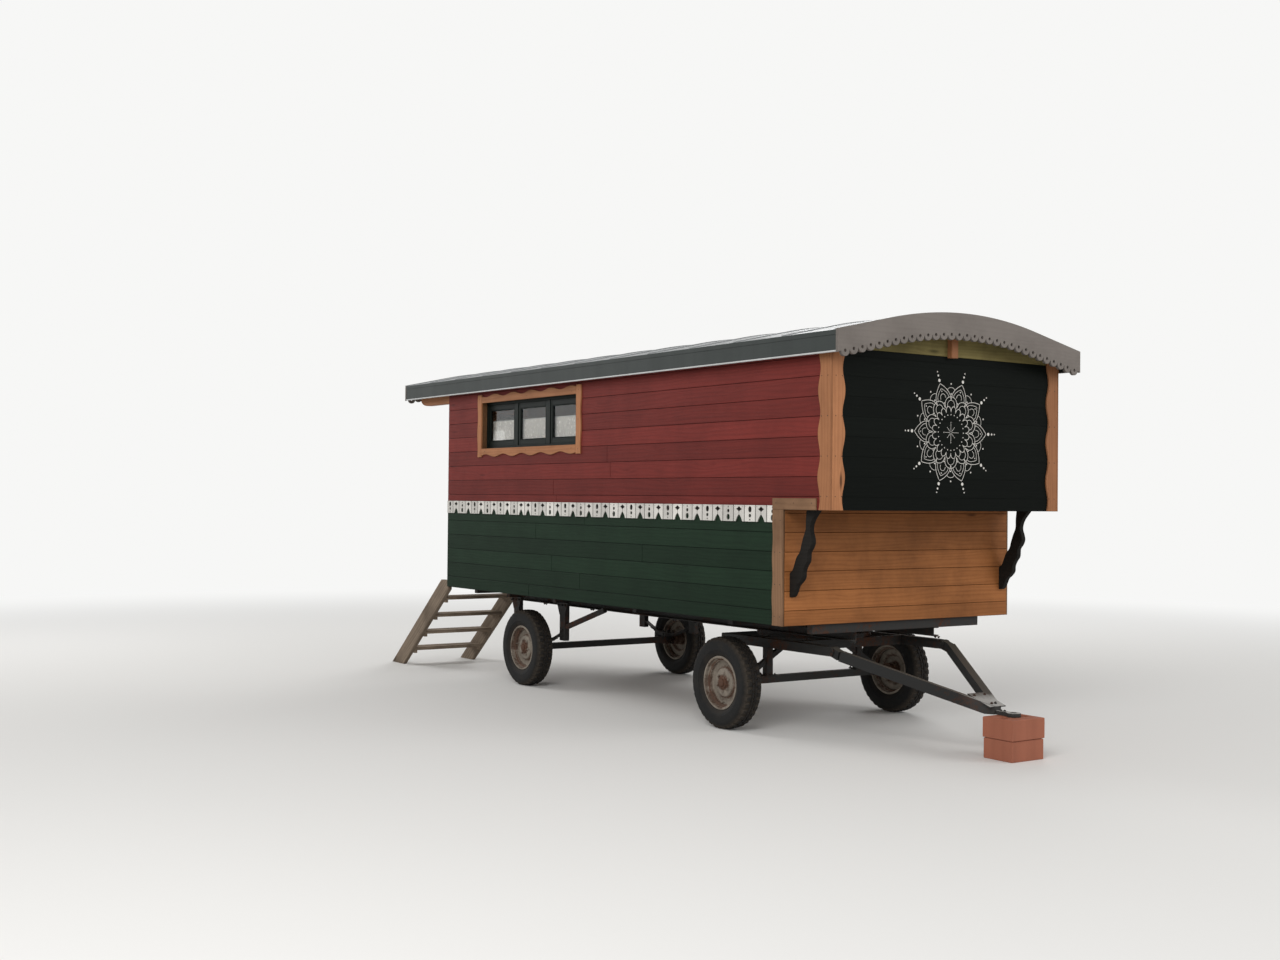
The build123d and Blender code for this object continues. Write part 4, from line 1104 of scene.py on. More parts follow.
def makeWindowBoards(side, word):
    low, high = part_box("window_architraves")
    width, pitch = window["boardWidth"], window["wavePitch"]
    x, z = (low.x + width, high.x - width), (low.z + width, high.z - width)
    rail = wavyBoard(x[1] - x[0], width, window["wave"], pitch)
    stile = wavyBoard(high.z - low.z, width, window["stileWave"], pitch)
    boards = Joinery("windowBoards" + word)
    for shape, corner, along, across in (
        (rail, (x[0], z[0]), forwardAxis, -upAxis),
        (rail, (x[0], z[1]), forwardAxis, upAxis),
        (stile, (x[0], low.z), upAxis, -forwardAxis),
        (stile, (x[1], low.z), upAxis, forwardAxis),
    ):
        stand = 0 if along.cross(across).y * side > 0 else boardThick
        boards.add(shape, axes((corner[0], side * (halfWall + stand), corner[1]), along, across))
    boards.build("trim", "pine_trim", ["window_architraves"])


def foldDepth(along, share, number):
    # How far a curtain stands off its rod's plane, at a place along it and a share of its height.
    turn, gathered, (sway, pace) = 2 * math.pi * along, lace["gathered"], lace["sway"]
    wave = math.sin(turn / lace["foldPitch"] + sway * math.sin(along * pace) + number)
    ripple = math.sin(turn / lace["ripplePitch"] + lace["rippleShift"] * number) * (1 - share)
    return lace["fold"] * (wave * (gathered + (1 - gathered) * share) + lace["ripple"] * ripple)


def makeCurtains(side, word):
    low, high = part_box("curtains")
    rods = Joinery("curtainRods" + word)
    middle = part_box("window_frames")[1].y - window["thick"] - lace["rodStand"]
    row, radius = lace["across"] + 1, lace["rod"]
    for number, (start, end) in enumerate(lightSpans()):
        start, length = start - lace["lap"], end - start + 2 * lace["lap"]
        points = []
        for j in range(lace["down"] + 1):
            share = j / lace["down"]
            for k in range(row):
                along = start + length * k / lace["across"]
                y = side * (middle + foldDepth(along, share, number))
                points.append(Vector((along, y, high.z - (high.z - low.z) * share)))
        faces = [[j * row + k, j * row + k + 1, (j + 1) * row + k + 1, (j + 1) * row + k]
                 for j in range(lace["down"]) for k in range(lace["across"])]
        cloth = Joinery("curtain" + word + str(number + 1))
        cloth.add((points, faces), None, 0.5, Vector())
        piece = cloth.build("lace", "lace", ["curtains"], smooth=80)
        rod = turned([(0.0001, 0), (radius, 0), (radius, length), (0.0001, length)], 12)
        rods.add(rod, frontward(start, side * middle, high.z - radius))
    rods.build("bare", "bare_steel")


for side, word in sides:
    makeWindow(side, word)
    makeWindowBoards(side, word)
    makeCurtains(side, word)
print("windows made")

# Scrolled brackets under the alcove, their edges as distances ahead of the wall and below the floor
bracket = {
    "outer": ((0.026, 0.652), (0.044, 0.639), (0.064, 0.606), (0.086, 0.562), (0.122, 0.532), (0.148, 0.499),
              (0.152, 0.454), (0.172, 0.414), (0.2, 0.374), (0.206, 0.314), (0.234, 0.276), (0.25, 0.236),
              (0.242, 0.194), (0.228, 0.155), (0.232, 0.112), (0.256, 0.064), (0.314, 0.0)),
    "inner": ((0.188, 0.0), (0.18, 0.074), (0.178, 0.14), (0.154, 0.195), (0.132, 0.254), (0.114, 0.31),
              (0.076, 0.355), (0.052, 0.409), (0.032, 0.449), (0.0, 0.474)),
    "thick": 0.045,
    "chamfer": 0.003,
    "between": 5,
}


def smoothLine(corners):
    # A line that bends smoothly through its corners.
    corners = [Vector(corner) for corner in corners]
    corners = [2 * corners[0] - corners[1]] + corners + [2 * corners[-1] - corners[-2]]
    line = []
    for before, start, end, after in zip(corners, corners[1:], corners[2:], corners[3:]):
        for s in (k / bracket["between"] for k in range(bracket["between"])):
            square, cube = 2 * before - 5 * start + 4 * end - after, 3 * start - before - 3 * end + after
            line.append(0.5 * (2 * start + (end - before) * s + square * s ** 2 + cube * s ** 3))
    return line + [corners[-2]]


def makeBrackets():
    low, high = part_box("overhang_brackets")
    line = smoothLine(bracket["outer"]) + smoothLine(bracket["inner"])
    loop = [Vector((max(low.x, low.x + p.x), high.z - p.y)) for p in line]
    loop.append(Vector((low.x, loop[0].y)))
    shape = plate([loop], bracket["thick"], bracket["chamfer"])
    struts = Joinery("brackets")
    for y in (bracket["thick"] - high.y, high.y):
        struts.add(shape, sideward(0, y))
    struts.build("dark", "dark_wood", ["overhang_brackets"])


makeBrackets()
print("brackets made")

# Rear door
door = {
    "frame": 0.04,
    "sill": 0.03,
    "stop": 0.015,
    "stopThick": 0.02,
    "stopBack": 0.049,
    "casing": 0.062,
    "casingThick": 0.012,
    "casingLap": 0.01,
    "casingDrop": 0.02,
    "gap": 0.004,
    "thick": 0.045,
    "topRail": 0.18,
    "lightWidth": 0.36,
    "lightHeight": 0.62,
    "lockRail": 0.12,
    "bottomRail": 0.17,
    "panelBack": 0.012,
    "boards": 4,
    "chamfer": 0.0025,
    "boardChamfer": 0.004,
    "slimChamfer": 0.001,
    "heights": (1.25, 2.55),
    "axis": 0.002,
    "strapLength": 0.42,
    "strapWidth": 0.04,
    "strapThick": 0.006,
    "strapStart": 0.002,
    "neck": 0.6,
    "studs": (0.09, 0.2, 0.31),
    "stud": ((0.0001, 0.0035), (0.006, 0.003), (0.009, 0.001), (0.009, 0)),
    "eye": 0.01,
    "pin": 0.005,
    "pinPlay": 0.0006,
    "pinTop": 0.003,
    "seat": 0.022,
    "seatGap": 0.0005,
}


def makeDoorFrame():
    (_, back), y, z = spansOf("door_frame")
    side, bottom, top = door["frame"], z[0] + door["sill"], z[1] - door["frame"]
    boards, casing = Joinery("doorFrame"), Joinery("doorCasing")
    inside = (y[0] + side, y[1] - side)
    for edge in ends(y, side):
        panel(boards, (xRear, back), edge, z, "Z")
    for edge in ((top, z[1]), (z[0], bottom)):
        panel(boards, (xRear, back), inside, edge, "Y", 0.002, "Z")
    front, width, slim = xRear + door["stopBack"], door["stop"], door["slimChamfer"]
    stop = (front, front + door["stopThick"])
    for edge in ends(inside, width):
        panel(boards, stop, edge, (bottom, top), "Z", slim)
    panel(boards, stop, inside, (top - width, top), "Y", slim, "Z")
    boards.build("trim", "pine_trim", ["door_frame"])
    wide, lap, back = door["casing"], door["casingLap"], xRear - cladding["stand"]
    x, top, around = (back - door["casingThick"], back), z[1] - lap, (y[0] - wide + lap, y[1] + wide - lap)
    for edge in ends(around, wide):
        panel(casing, x, edge, (floorTop - door["casingDrop"], top), "Z", door["chamfer"], "X")
    panel(casing, x, around, (top, top + wide), "Y", door["chamfer"], "X")
    casing.build("trim", "pine_trim")


def makeDoorLeaf():
    inner, bead = door["frame"] + door["gap"], window["bead"]
    x, y, z = (xRear, xRear + door["thick"]), spansOf("door_frame")[1], spansOf("door_leaf")[2]
    middle, half = (y[0] + y[1]) / 2, door["lightWidth"] / 2
    light, top = (middle - half, middle + half), z[1] - door["topRail"]
    sill, foot = top - door["lightHeight"], z[0] + door["bottomRail"]
    lock, front = sill - door["lockRail"], (x[0] + x[1] - window["glassThick"]) / 2 - bead
    leaf = Joinery("doorLeaf")
    for edge in ((y[0] + inner, light[0]), (light[1], y[1] - inner)):
        panel(leaf, x, edge, z, "Z", door["chamfer"], "X")
    for edge in ((top, z[1]), (lock, sill), (z[0], foot)):
        panel(leaf, x, light, edge, "Y", door["chamfer"], "X")
    wide, back, chamfer = door["lightWidth"] / door["boards"], door["panelBack"], door["boardChamfer"]
    for k in range(door["boards"]):
        start = light[0] + k * wide
        panel(leaf, (x[0] + back, x[1] - back), (start, start + wide), (foot, lock), "Z", chamfer, "X")
    for edge in ends(light, bead):
        panel(leaf, (front, front + bead), edge, (sill, top), "Z", 0.002, "X")
    for edge in ends((sill, top), bead):
        panel(leaf, (front, front + bead), (light[0] + bead, light[1] - bead), edge, "Y", 0.002, "X")
    leaf.build("door", "green_door", ["door_leaf"], "door")


def makeHinges():
    straps, seats = Joinery("strapHinges"), Joinery("hingeSeats")
    eye, pin, seat, thick = door["eye"], door["pin"], door["seat"], door["strapThick"]
    side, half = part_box("door_frame")[0].y + door["frame"], door["strapWidth"] / 2
    x, y, face = xRear - eye, side + door["axis"], xRear - thick
    neck, tip, start = half * door["neck"], door["strapLength"], pin + door["strapStart"]
    outline = [Vector((start, -half)), Vector((tip - half, -neck))]
    outline += arcPoints((tip - neck, 0), neck, -math.pi / 2, math.pi / 2, 8)[1:-1]
    outline += [Vector((tip - half, neck)), Vector((start, half))]
    strap = plate([outline], thick - 0.0002, 0.001)
    tube = plate([circle((0, 0), eye), circle((0, 0), pin + door["pinPlay"])], 2 * half, 0.0008)
    stud = turned(door["stud"], 14)
    for height in door["heights"]:
        straps.add(strap, frontward(face, y, height))
        straps.add(tube, upwards(x, y, height - half))
        for reach in door["studs"]:
            straps.add(stud, axes((face, y + reach, height), upAxis, leftAxis))
        top = height - half - door["seatGap"]
        z = (top - seat, top)
        panel(seats, (xRear - 2 * eye, xRear), (y - door["frame"], y - eye), z, "Y", door["slimChamfer"], "Z")
        seats.add(upright(eye, top - seat, top, x, y))
        seats.add(upright(pin, top, height + half + door["pinTop"], x, y))
    straps.build("steel", "dark_steel", body="door")
    seats.build("steel", "dark_steel")


makeDoorFrame()
makeDoorLeaf()
makeHinges()
print("door made")

# Rear steps
steps = {
    "slope": math.radians(39.6),
    "stringer": 0.18,
    "thick": 0.045,
    "count": 4,
    "treadDepth": 0.22,
    "treadThick": 0.035,
    "plankGap": 0.008,
    "drop": 0.02,
    "cleat": 0.03,
    "cleatHalf": 0.1,
    "chamfer": 0.004,
}
stepRise = floorTop / (steps["count"] + 1)


def stepLine(z):
    return xRear - (floorTop - z) / math.tan(steps["slope"])


def makeSteps():
    across = spansOf("steps_stringers")[1]
    sine, cosine = math.sin(steps["slope"]), math.cos(steps["slope"])
    flat, tall = steps["stringer"] / 2 / sine, steps["stringer"] / 2 / cosine
    top, thick, cleat, foot = floorTop - steps["drop"], steps["thick"], steps["cleat"], stepLine(0)
    corners = [(foot - flat, 0), (foot + flat, 0), (xRear, floorTop - tall), (xRear, top)]
    corners.append((stepLine(top - tall), top))
    wood = Joinery("steps")
    for y in (across[0] + thick, across[1]):
        place = axes((foot, y, 0), (cosine, 0, sine), (-sine, 0, cosine))
        back = place.inverted()
        loop = [Vector((back @ Vector((x, y, z))).xy) for x, z in corners]
        wood.add(plate([loop], thick, steps["chamfer"]), place)
    inside = (across[0] + thick, across[1] - thick)
    for k in range(1, steps["count"] + 1):
        tread = floorTop - k * stepRise
        under, x, reach = tread - steps["treadThick"], stepLine(tread), steps["treadDepth"] / 2
        for plank in ends((x - reach, x + reach), reach - steps["plankGap"] / 2):
            panel(wood, plank, inside, (under, tread), "Y", steps["chamfer"], "Z")
        for y in ends(inside, cleat):
            panel(wood, (x - steps["cleatHalf"], x + steps["cleatHalf"]), y, (under - cleat, under))
    wood.build("step", "step_wood", ["steps_stringers", "steps_treads"])


makeSteps()
print("steps made")

# Wheels, made about Z with the outer face up, then set on their axles
tyre = {
    "radius": 0.3725,
    "crown": 0.006,
    "width": 0.185,
    # radius and how far it is inside the half width
    "wall": ((0.243, 0.009), (0.2455, 0.007), (0.262, 0.004), (0.2645, 0.002), (0.29, 0.0008), (0.318, 0),
             (0.336, 0.0035), (0.349, 0.0115)),
    # radius and how far it is outside the tread
    "edge": (0.3585, 0.0045),
    "shoulderFoot": 0.345,
    # the rings round the tread, as shares of its half width, and the steps that a cross groove takes
    "rings": (0.07, 0.36, 0.46),
    "cut": 3,
    "tread": 0.132,
    "bead": (0.206, 0.0003),
    # radius and how far it is outside the bead
    "lip": ((0.2195, 0), (0.2235, 0.005)),
    "groove": 0.0105,
    "shoulder": 0.004,
    "pitches": 38,
    "steps": 8,
    # places across the tread where its depth is set, from its edge at -1 to the middle
    "across": (-1, -0.94, -0.7, -0.47, -0.45, -0.37, -0.35, -0.2, -0.08, -0.06),
}
rim = {
    "flange": 0.217,
    "seat": 0.2047,
    "well": 0.018,
    "wall": 0.006,
    "width": 0.14,
    "discFace": 0.03,
    "discFoot": 0.134,
    "discFlat": 0.11,
    "discThick": 0.008,
    "hub": 0.06,
    "hubFace": 0.06,
    "hubBack": 0.082,
    # radius and how far it is under the hub's face
    "cap": ((0.0001, 0), (0.026, 0), (0.031, 0.003), (0.033, 0.012), (0.046, 0.014), (0.05, 0.018)),
    "boltCircle": 0.075,
    "bolts": 6,
    "nut": (0.013, 0.009),
    "valvePlace": (0.165, 0, 0.004),
    "valve": ((0.004, 0), (0.004, 0.03), (0.003, 0.034), (0.0001, 0.034)),
}


def treadDepth(step, across):
    # Whether there is a groove at a step of the pitch and at a place across the tread, from -1 to 1.
    rib, left, count = abs(across), across > 0, tyre["steps"]
    middle, inner, outer = tyre["rings"]
    if rib < middle or inner < rib < outer:
        return 1.0
    if rib <= inner:
        return float((step + (tyre["cut"] if left else count - 1)) % count == 0)
    return float((step + (0 if left else count // 2)) % count < tyre["cut"])


def tyreShape():
    half, tread = tyre["width"] / 2, tyre["tread"] / 2
    foot, clear = tyre["bead"]
    bead = rim["width"] / 2 - rim["wall"] - clear
    across = [*tyre["across"], *(-place for place in reversed(tyre["across"]))]
    side = [(foot, bead)] + [(r, bead + out) for r, out in tyre["lip"]]
    side += [(r, half - back) for r, back in tyre["wall"]] + [(tyre["edge"][0], tread + tyre["edge"][1])]
    count = tyre["pitches"] * tyre["steps"]
    points = []
    for k in range(count):
        step, angle = k % tyre["steps"], 2 * math.pi * k / count
        ring = [(r, -h) for r, h in side]
        for place in across:
            groove = tyre["groove"] * treadDepth(step, place)
            ring.append((tyre["radius"] - tyre["crown"] * abs(place) ** 3 - groove, place * tread))
        lug = tyre["shoulder"] * treadDepth(step, 0.9)
        ring += [(r - (lug if r > tyre["shoulderFoot"] else 0), h) for r, h in reversed(side)]
        points += [Vector((r * math.cos(angle), r * math.sin(angle), h)) for r, h in ring]
    return points, ringFaces(count, 2 * len(side) + len(across), True)


def closedTurned(loop):
    return turned(loop + [loop[0]], 72)


def rimShape():
    half, wall, seat, flange = rim["width"] / 2, rim["wall"], rim["seat"], rim["flange"]
    well, lip = seat - rim["well"], half - wall
    outer = [(well, half - 0.045), (seat, half - 0.03), (seat, lip - 0.002), (seat + 0.002, lip),
             (flange, lip + 0.001), (flange, half - 0.002), (flange - 0.002, half)]
    inner = [(seat - wall + 0.001, half), (seat - wall, half - 0.002), (seat - wall, half - 0.028),
             (well - wall, half - 0.042)]
    outside = [(r, -h) for r, h in reversed(outer)] + outer
    return closedTurned(outside + inner + [(r, -h) for r, h in reversed(inner)])


def discShape():
    face, flat, foot = rim["discFace"], rim["discFlat"], rim["discFoot"]
    edge = rim["seat"] - rim["well"] - rim["wall"]
    front = [(rim["hub"] - 0.002, face), (flat - 0.012, face), (flat, face - 0.003), (foot - 0.006, 0.006),
             (foot + 0.006, 0.0), (edge - 0.012, 0.0), (edge - 0.003, 0.003), (edge, 0.01)]
    return closedTurned(front + [(r, h - rim["discThick"]) for r, h in reversed(front)])


def hubShape():
    hub, back, disc, cap = rim["hub"], rim["hubBack"], rim["discFace"], rim["cap"]
    profile = [(r, rim["hubFace"] - drop) for r, drop in cap] + [(cap[-1][0], disc + 0.006)]
    profile += [(hub, disc + 0.003), (hub, -0.03), (hub - 0.006, -0.036), (hub - 0.006, -back + 0.012),
                (hub, -back + 0.01), (hub, -back + 0.002), (hub - 0.002, -back), (cap[1][0], -back)]
    return turned(profile, 40)


def makeWheels():
    shapes = [rimShape(), discShape(), hubShape()]
    for k in range(rim["bolts"]):
        turn = Matrix.Rotation(2 * math.pi * k / rim["bolts"], 4, "Z")
        shapes.append(moved(nutShape(*rim["nut"]), turn @ upwards(rim["boltCircle"], 0, rim["discFace"])))
    shapes.append(moved(turned(rim["valve"], 10), upwards(*rim["valvePlace"])))
    rubberShape = tyreShape()
    for end in ("front", "rear"):
        for side, word in sides:
            label = end + "_" + word.lower()
            low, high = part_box("tyre_" + label)
            place = Matrix.Translation((low + high) / 2) @ Matrix.Rotation(-side * math.pi / 2, 4, "X")
            place = place @ Matrix.Rotation(chance.uniform(0, 6), 4, "Z")
            rubber, metal = Joinery("tyre" + end.title() + word), Joinery("rim" + end.title() + word)
            rubber.add(rubberShape, place, 0.5, Vector())
            rubber.build("tyre", "tyre", ["tyre_" + label], "wheel_" + label, 32)
            for shape in shapes:
                metal.add(shape, place, 0.5, Vector())
            metal.build("rim", "rim_paint", ["rim_" + label], "wheel_" + label)


makeWheels()
print("wheels made")

# Rear springs as packs of leaves, clamped to the axle
spring = {
    "half": 0.4,
    "width": 0.05,
    "leaves": 6,
    "pack": 0.04,
    "gap": 0.0004,
    "narrow": 0.0015,
    "sag": 0.0975,
    "shorter": 0.055,
    "steps": 24,
    "bolt": (0.006, -0.075, 0.068),
    "boltPlaces": (0.035, 0.036),
    "nut": (0.011, 0.01, 0.2),
    "nutFeet": (0.049, -0.078),
    "clamp": (0.055, 0.046),
    "clampEdges": ((0.0405, 0.049), (-0.0695, -0.0605)),
    "chamfer": 0.0008,
}


def leafLoop(half, top, thick):
    # One leaf from its length and the arc of the pack, its ends level with the arc.
    rise, count = spring["sag"] / spring["half"] ** 2, spring["steps"]
    upper = [Vector((x, top + rise * x * x)) for x in (half * (2 * k / count - 1) for k in range(count + 1))]
    return upper + [Vector((p.x, p.y - thick)) for p in reversed(upper)]


def makeSprings():
    low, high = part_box("rear_springs")
    leaves = Joinery("springLeaves")
    middle, foot, width = (low.x + high.x) / 2, low.z, spring["width"]
    thick = spring["pack"] / spring["leaves"]
    radius, *reach = spring["bolt"]
    for side in (-1, 1):
        centre = side * (high.y - width / 2)
        for k in range(spring["leaves"]):
            half, narrow = spring["half"] - k * spring["shorter"], spring["narrow"] * (k % 2)
            loop = leafLoop(half, foot + spring["pack"] - k * thick, thick - spring["gap"])
            leaf = plate([loop], width - 2 * narrow, spring["chamfer"])
            leaves.add(leaf, sideward(middle, centre + width / 2 - narrow))
        for x in (middle - spring["boltPlaces"][0], middle + spring["boltPlaces"][0]):
            for y in (centre - spring["boltPlaces"][1], centre + spring["boltPlaces"][1]):
                leaves.add(upright(radius, foot + reach[0], foot + reach[1], x, y, 12))
                for z in spring["nutFeet"]:
                    leaves.add(nutShape(*spring["nut"]), upwards(x, y, foot + z))
        long, wide = spring["clamp"]
        x, y = (middle - long, middle + long), (centre - wide, centre + wide)
        for bottom, top in spring["clampEdges"]:
            panel(leaves, x, y, (foot + bottom, foot + top), "X", 0.002, "Z")
    leaves.build("steel", "dark_steel", ["rear_springs"])


makeSprings()
print("springs made")

# Bolts, nuts and plates of the running gear. A nut is its radius and height.
gear = {
    "nut": (0.012, 0.009),
    "crossBacks": (0.06, 2.4225, 3.805, 4.705, 5.4),
    "crossWidth": 0.018,
    "railWidth": 0.06,
    "railNut": 0.01,
    "beamPlate": (0.028, 0.002, 0.004),
    "hangers": 0.45,
    "axleHalf": 0.03,
    "hangerNut": (0.015, 0.011),
    "hangerNuts": (0.045, 0.1),
    "hangerPlate": (0.005, 0.1),
    "plateChamfer": 0.001,
    "gusset": ((-0.1, 0), (-0.05, 0.12), (0.05, 0.12), (0.1, 0)),
    "gussetNuts": (-0.06, 0, 0.06),
    "gussetDrop": 0.025,
    "ringRadius": 0.455,
    "ringAngles": (20, 42, 74, 106, 138, 160),
    "railClear": 0.05,
    "kingNut": (0.032, 0.013, 0.1),
    "kingLift": 0.002,
    "footPlace": 0.5,
    "footPlate": (0.11, 0.1, 0.007),
    "footNut": (0.01, 0.008),
    "footNuts": (0.04, 0.043),
    "pinHeight": 0.6872,
    "pinBack": 0.035,
    "pinPlace": 0.6,
    "washer": (0.026, 0.0035),
    "washerPlace": 0.0425,
    "cotter": (0.0025, -0.02, 0.02),
    "cotterPlace": 0.0485,
    "drawbarPivot": 2.64,
    "topPlate": (0.11, 0.04, 0.004),
    "topNuts": ((-0.075, -0.055), (-0.075, 0.055), (0.07, -0.02), (0.07, 0.02)),
    "topNut": (0.012, 0.008),
    "eyeNut": (0.011, 0.007, 0.4),
    "eyeNuts": (0.03, 0.065),
}


def ringPlaces(x):
    # Places on the turntable's bolt circle, which stands round the king pin.
    for angle in gear["ringAngles"]:
        for turn in (math.radians(angle), math.radians(angle + 180)):
            yield x + gear["ringRadius"] * math.sin(turn), gear["ringRadius"] * math.cos(turn)


def makeChassisBolts():
    bolts, nut = Joinery("chassisBolts"), nutShape(*gear["nut"])
    rails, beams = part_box("chassis_rails"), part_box("chassis_cross_beams")
    middle = rails[1].y - gear["railWidth"] / 2
    long, thick, drop = gear["beamPlate"]
    for x in (xFront - back for back in gear["crossBacks"]):
        for side in (-1, 1):
            for lean in (-gear["crossWidth"], gear["crossWidth"]):
                bolts.add(nut, downwards(x + lean, side * (middle + gear["railNut"]), rails[0].z))
            face = side * beams[1].y
            z = (beams[0].z + drop, beams[1].z - drop)
            panel(bolts, (x - long, x + long), (face - thick, face + thick), z, "X", 0.0008)
    low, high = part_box("rear_hangers")
    centre, (thick, sunk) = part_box("rear_axle")[0].x + gear["axleHalf"], gear["hangerPlate"]
    for side in (-1, 1):
        face = side * high.y
        for x in (centre - gear["hangers"], centre + gear["hangers"]):
            for z in gear["hangerNuts"]:
                bolts.add(nutShape(*gear["hangerNut"]), outwards(x, face, low.z + z))
            loop = [Vector((x + across, high.z - drop)) for across, drop in gear["gusset"]]
            y = face - thick * sunk * side + (thick if side > 0 else 0)
            bolts.add(plate([loop], thick, gear["plateChamfer"]), sideward(0, y))
            for reach in gear["gussetNuts"]:
                bolts.add(nut, outwards(x + reach, face + side * thick, high.z - gear["gussetDrop"]))
    table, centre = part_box("turntable_upper"), middleOf("turntable_upper").x
    for x, y in ringPlaces(centre):
        if abs(abs(y) - middle) > gear["railClear"]:
            bolts.add(nut, upwards(x, y, table[1].z))
    bolts.add(nutShape(*gear["kingNut"]), upwards(centre, 0, table[0].z + gear["kingLift"]))
    bolts.build("steel", "dark_steel")


def makeBogieBolts():
    bolts = Joinery("bogieBolts")
    x, top = middleOf("front_axle").x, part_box("front_axle")[1].z
    long, wide, thick = gear["footPlate"]
    along, across = gear["footNuts"]
    for y in (-gear["footPlace"], gear["footPlace"]):
        z = (top, top + thick)
        panel(bolts, (x - wide / 2, x + wide / 2), (y - long / 2, y + long / 2), z, "Y", 0.0012, "Z")
        for lean in (-along, along):
            for side in (-across, across):
                bolts.add(nutShape(*gear["footNut"]), upwards(x + lean, y + side, top + thick))
    for place in ringPlaces(x):
        bolts.add(nutShape(*gear["nut"]), downwards(*place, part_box("turntable_lower")[0].z))
    x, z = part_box("bogie_frame")[1].x - gear["pinBack"], gear["pinHeight"]
    radius, thick = gear["washer"]
    washer = upright(radius, 0, thick, steps=24, ease=0.0008)
    cotter = upright(*gear["cotter"], steps=8, ease=0.0005)
    for y in (-gear["pinPlace"], gear["pinPlace"]):
        for face in (-1, 1):
            turn = Matrix.Rotation(-face * math.pi / 2, 4, "X")
            bolts.add(washer, upwards(x, y + face * gear["washerPlace"], z) @ turn)
            bolts.add(cotter, upwards(x, y + face * gear["cotterPlace"], z))
    bolts.build("steel", "dark_steel", body="bogie")


def makeDrawbarBolts():
    bolts, middle = Joinery("drawbarBolts"), middleOf("towing_eye").z
    low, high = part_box("towing_eye")
    back, lift, stand = gear["topPlate"]
    fall = (gear["pinHeight"] - middle) / (low.x - gear["drawbarPivot"])
    corner = (low.x - back, 0, middle + back * fall + lift)
    place = axes(corner, (1, 0, -fall), leftAxis) @ upwards(0, 0, stand)
    for along, across in gear["topNuts"]:
        bolts.add(nutShape(*gear["topNut"]), place @ upwards(along, across, 0))
    for reach in gear["eyeNuts"]:
        bolts.add(nutShape(*gear["eyeNut"]), upwards(low.x + reach, 0, high.z))
    bolts.build("steel", "dark_steel", body="drawbar")


# Nails and screws in the boards: places from the boards' edges
nails = {
    "radius": 0.0042,
    "small": 0.0026,
    "height": 0.0011,
    "sink": 0.0004,
    "corner": (0.035, 0.1),
    "front": (0.03, 0.09),
    "foot": 0.1,
    "pitch": 0.29,
    "rows": 5,
    "top": 0.08,
    "lowerFoot": 0.07,
    "lowerPitch": 0.24,
    "lowerRows": 4,
    "strip": (-0.08, 0.12, 0.32),
    "stripFoot": 0.05,
    "stile": 0.045,
    "rail": (0.16, 0.055),
    "fret": (0.05, 0.012),
    "tread": (0.06, 0.07, 0.017),
}


def nailShape(radius):
    tall = nails["height"]
    profile = [(0.0001, tall), (radius * 0.7, tall * 0.9), (radius, tall * 0.3), (radius, -nails["sink"])]
    return turned(profile, 10)


def makeNails():
    heads, large, small = Joinery("nailHeads"), nailShape(nails["radius"]), nailShape(nails["small"])
    face, front = halfWall + boardThick, xUpper + boardThick
    forward = Matrix.Rotation(math.pi / 2, 4, "Y")

    def grid(places, heights, side):
        for z in heights:
            for x in places:
                heads.add(large, outwards(x, side * face, z))

    for side in (-1, 1):
        for z in (alcoveBottom + nails["foot"] + k * nails["pitch"] for k in range(nails["rows"])):
            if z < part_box("corner_boards")[1].z - nails["top"]:
                grid([front - back for back in nails["corner"]], (z,), side)
                for back in nails["front"]:
                    heads.add(large, upwards(front, side * (halfWall - back), z) @ forward)
        foot, pitch = wallBottom + nails["lowerFoot"], nails["lowerPitch"]
        heights = [foot + k * pitch for k in range(nails["lowerRows"])]
        grid([xFront - back for back in nails["front"]], heights, side)
        grid([xFront + reach for reach in nails["strip"]], (alcoveBottom + nails["stripFoot"],), side)
        low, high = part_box("window_architraves")
        middle, edge = (low + high) / 2, nails["stile"]
        grid((low.x + edge, high.x - edge), (low.z + edge, middle.z, high.z - edge), side)
        reach, edge = nails["rail"]
        for x in (low.x + reach, middle.x, high.x - reach):
            grid((x,), (low.z + edge, high.z - edge), side)
        high, (reach, drop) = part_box("fret_bands")[1], nails["fret"]
        for middle, _ in fretPlanks()[1][:-1]:
            for x in (middle - reach, middle + reach):
                heads.add(small, outwards(x, side * high.y, high.z - drop))
    low, high = spansOf("steps_stringers")[1]
    reach, edge, drop = nails["tread"]
    for tread in (floorTop - k * stepRise for k in range(1, steps["count"] + 1)):
        for x in (stepLine(tread) - reach, stepLine(tread) + reach):
            for y, way in ((low, 1), (high, -1)):
                turn = Matrix.Rotation(way * math.pi / 2, 4, "X")
                heads.add(large, upwards(x, y, tread - drop) @ turn)
            for y in (low + edge, high - edge):
                heads.add(large, upwards(x, y, tread))
    heads.build("steel", "dark_steel")


makeChassisBolts()
makeBogieBolts()
makeDrawbarBolts()
makeNails()
print("bolts and nails made")

# Two clay blocks under the towing eye, the lower one smaller and a little turned
blocks = {
    "seam": 0.004,
    "core": 0.08,
    "slim": 0.62,
    "shift": 0.006,
    "lean": -0.012,
    "chamfer": 0.004,
    "inner": 0.03,
}


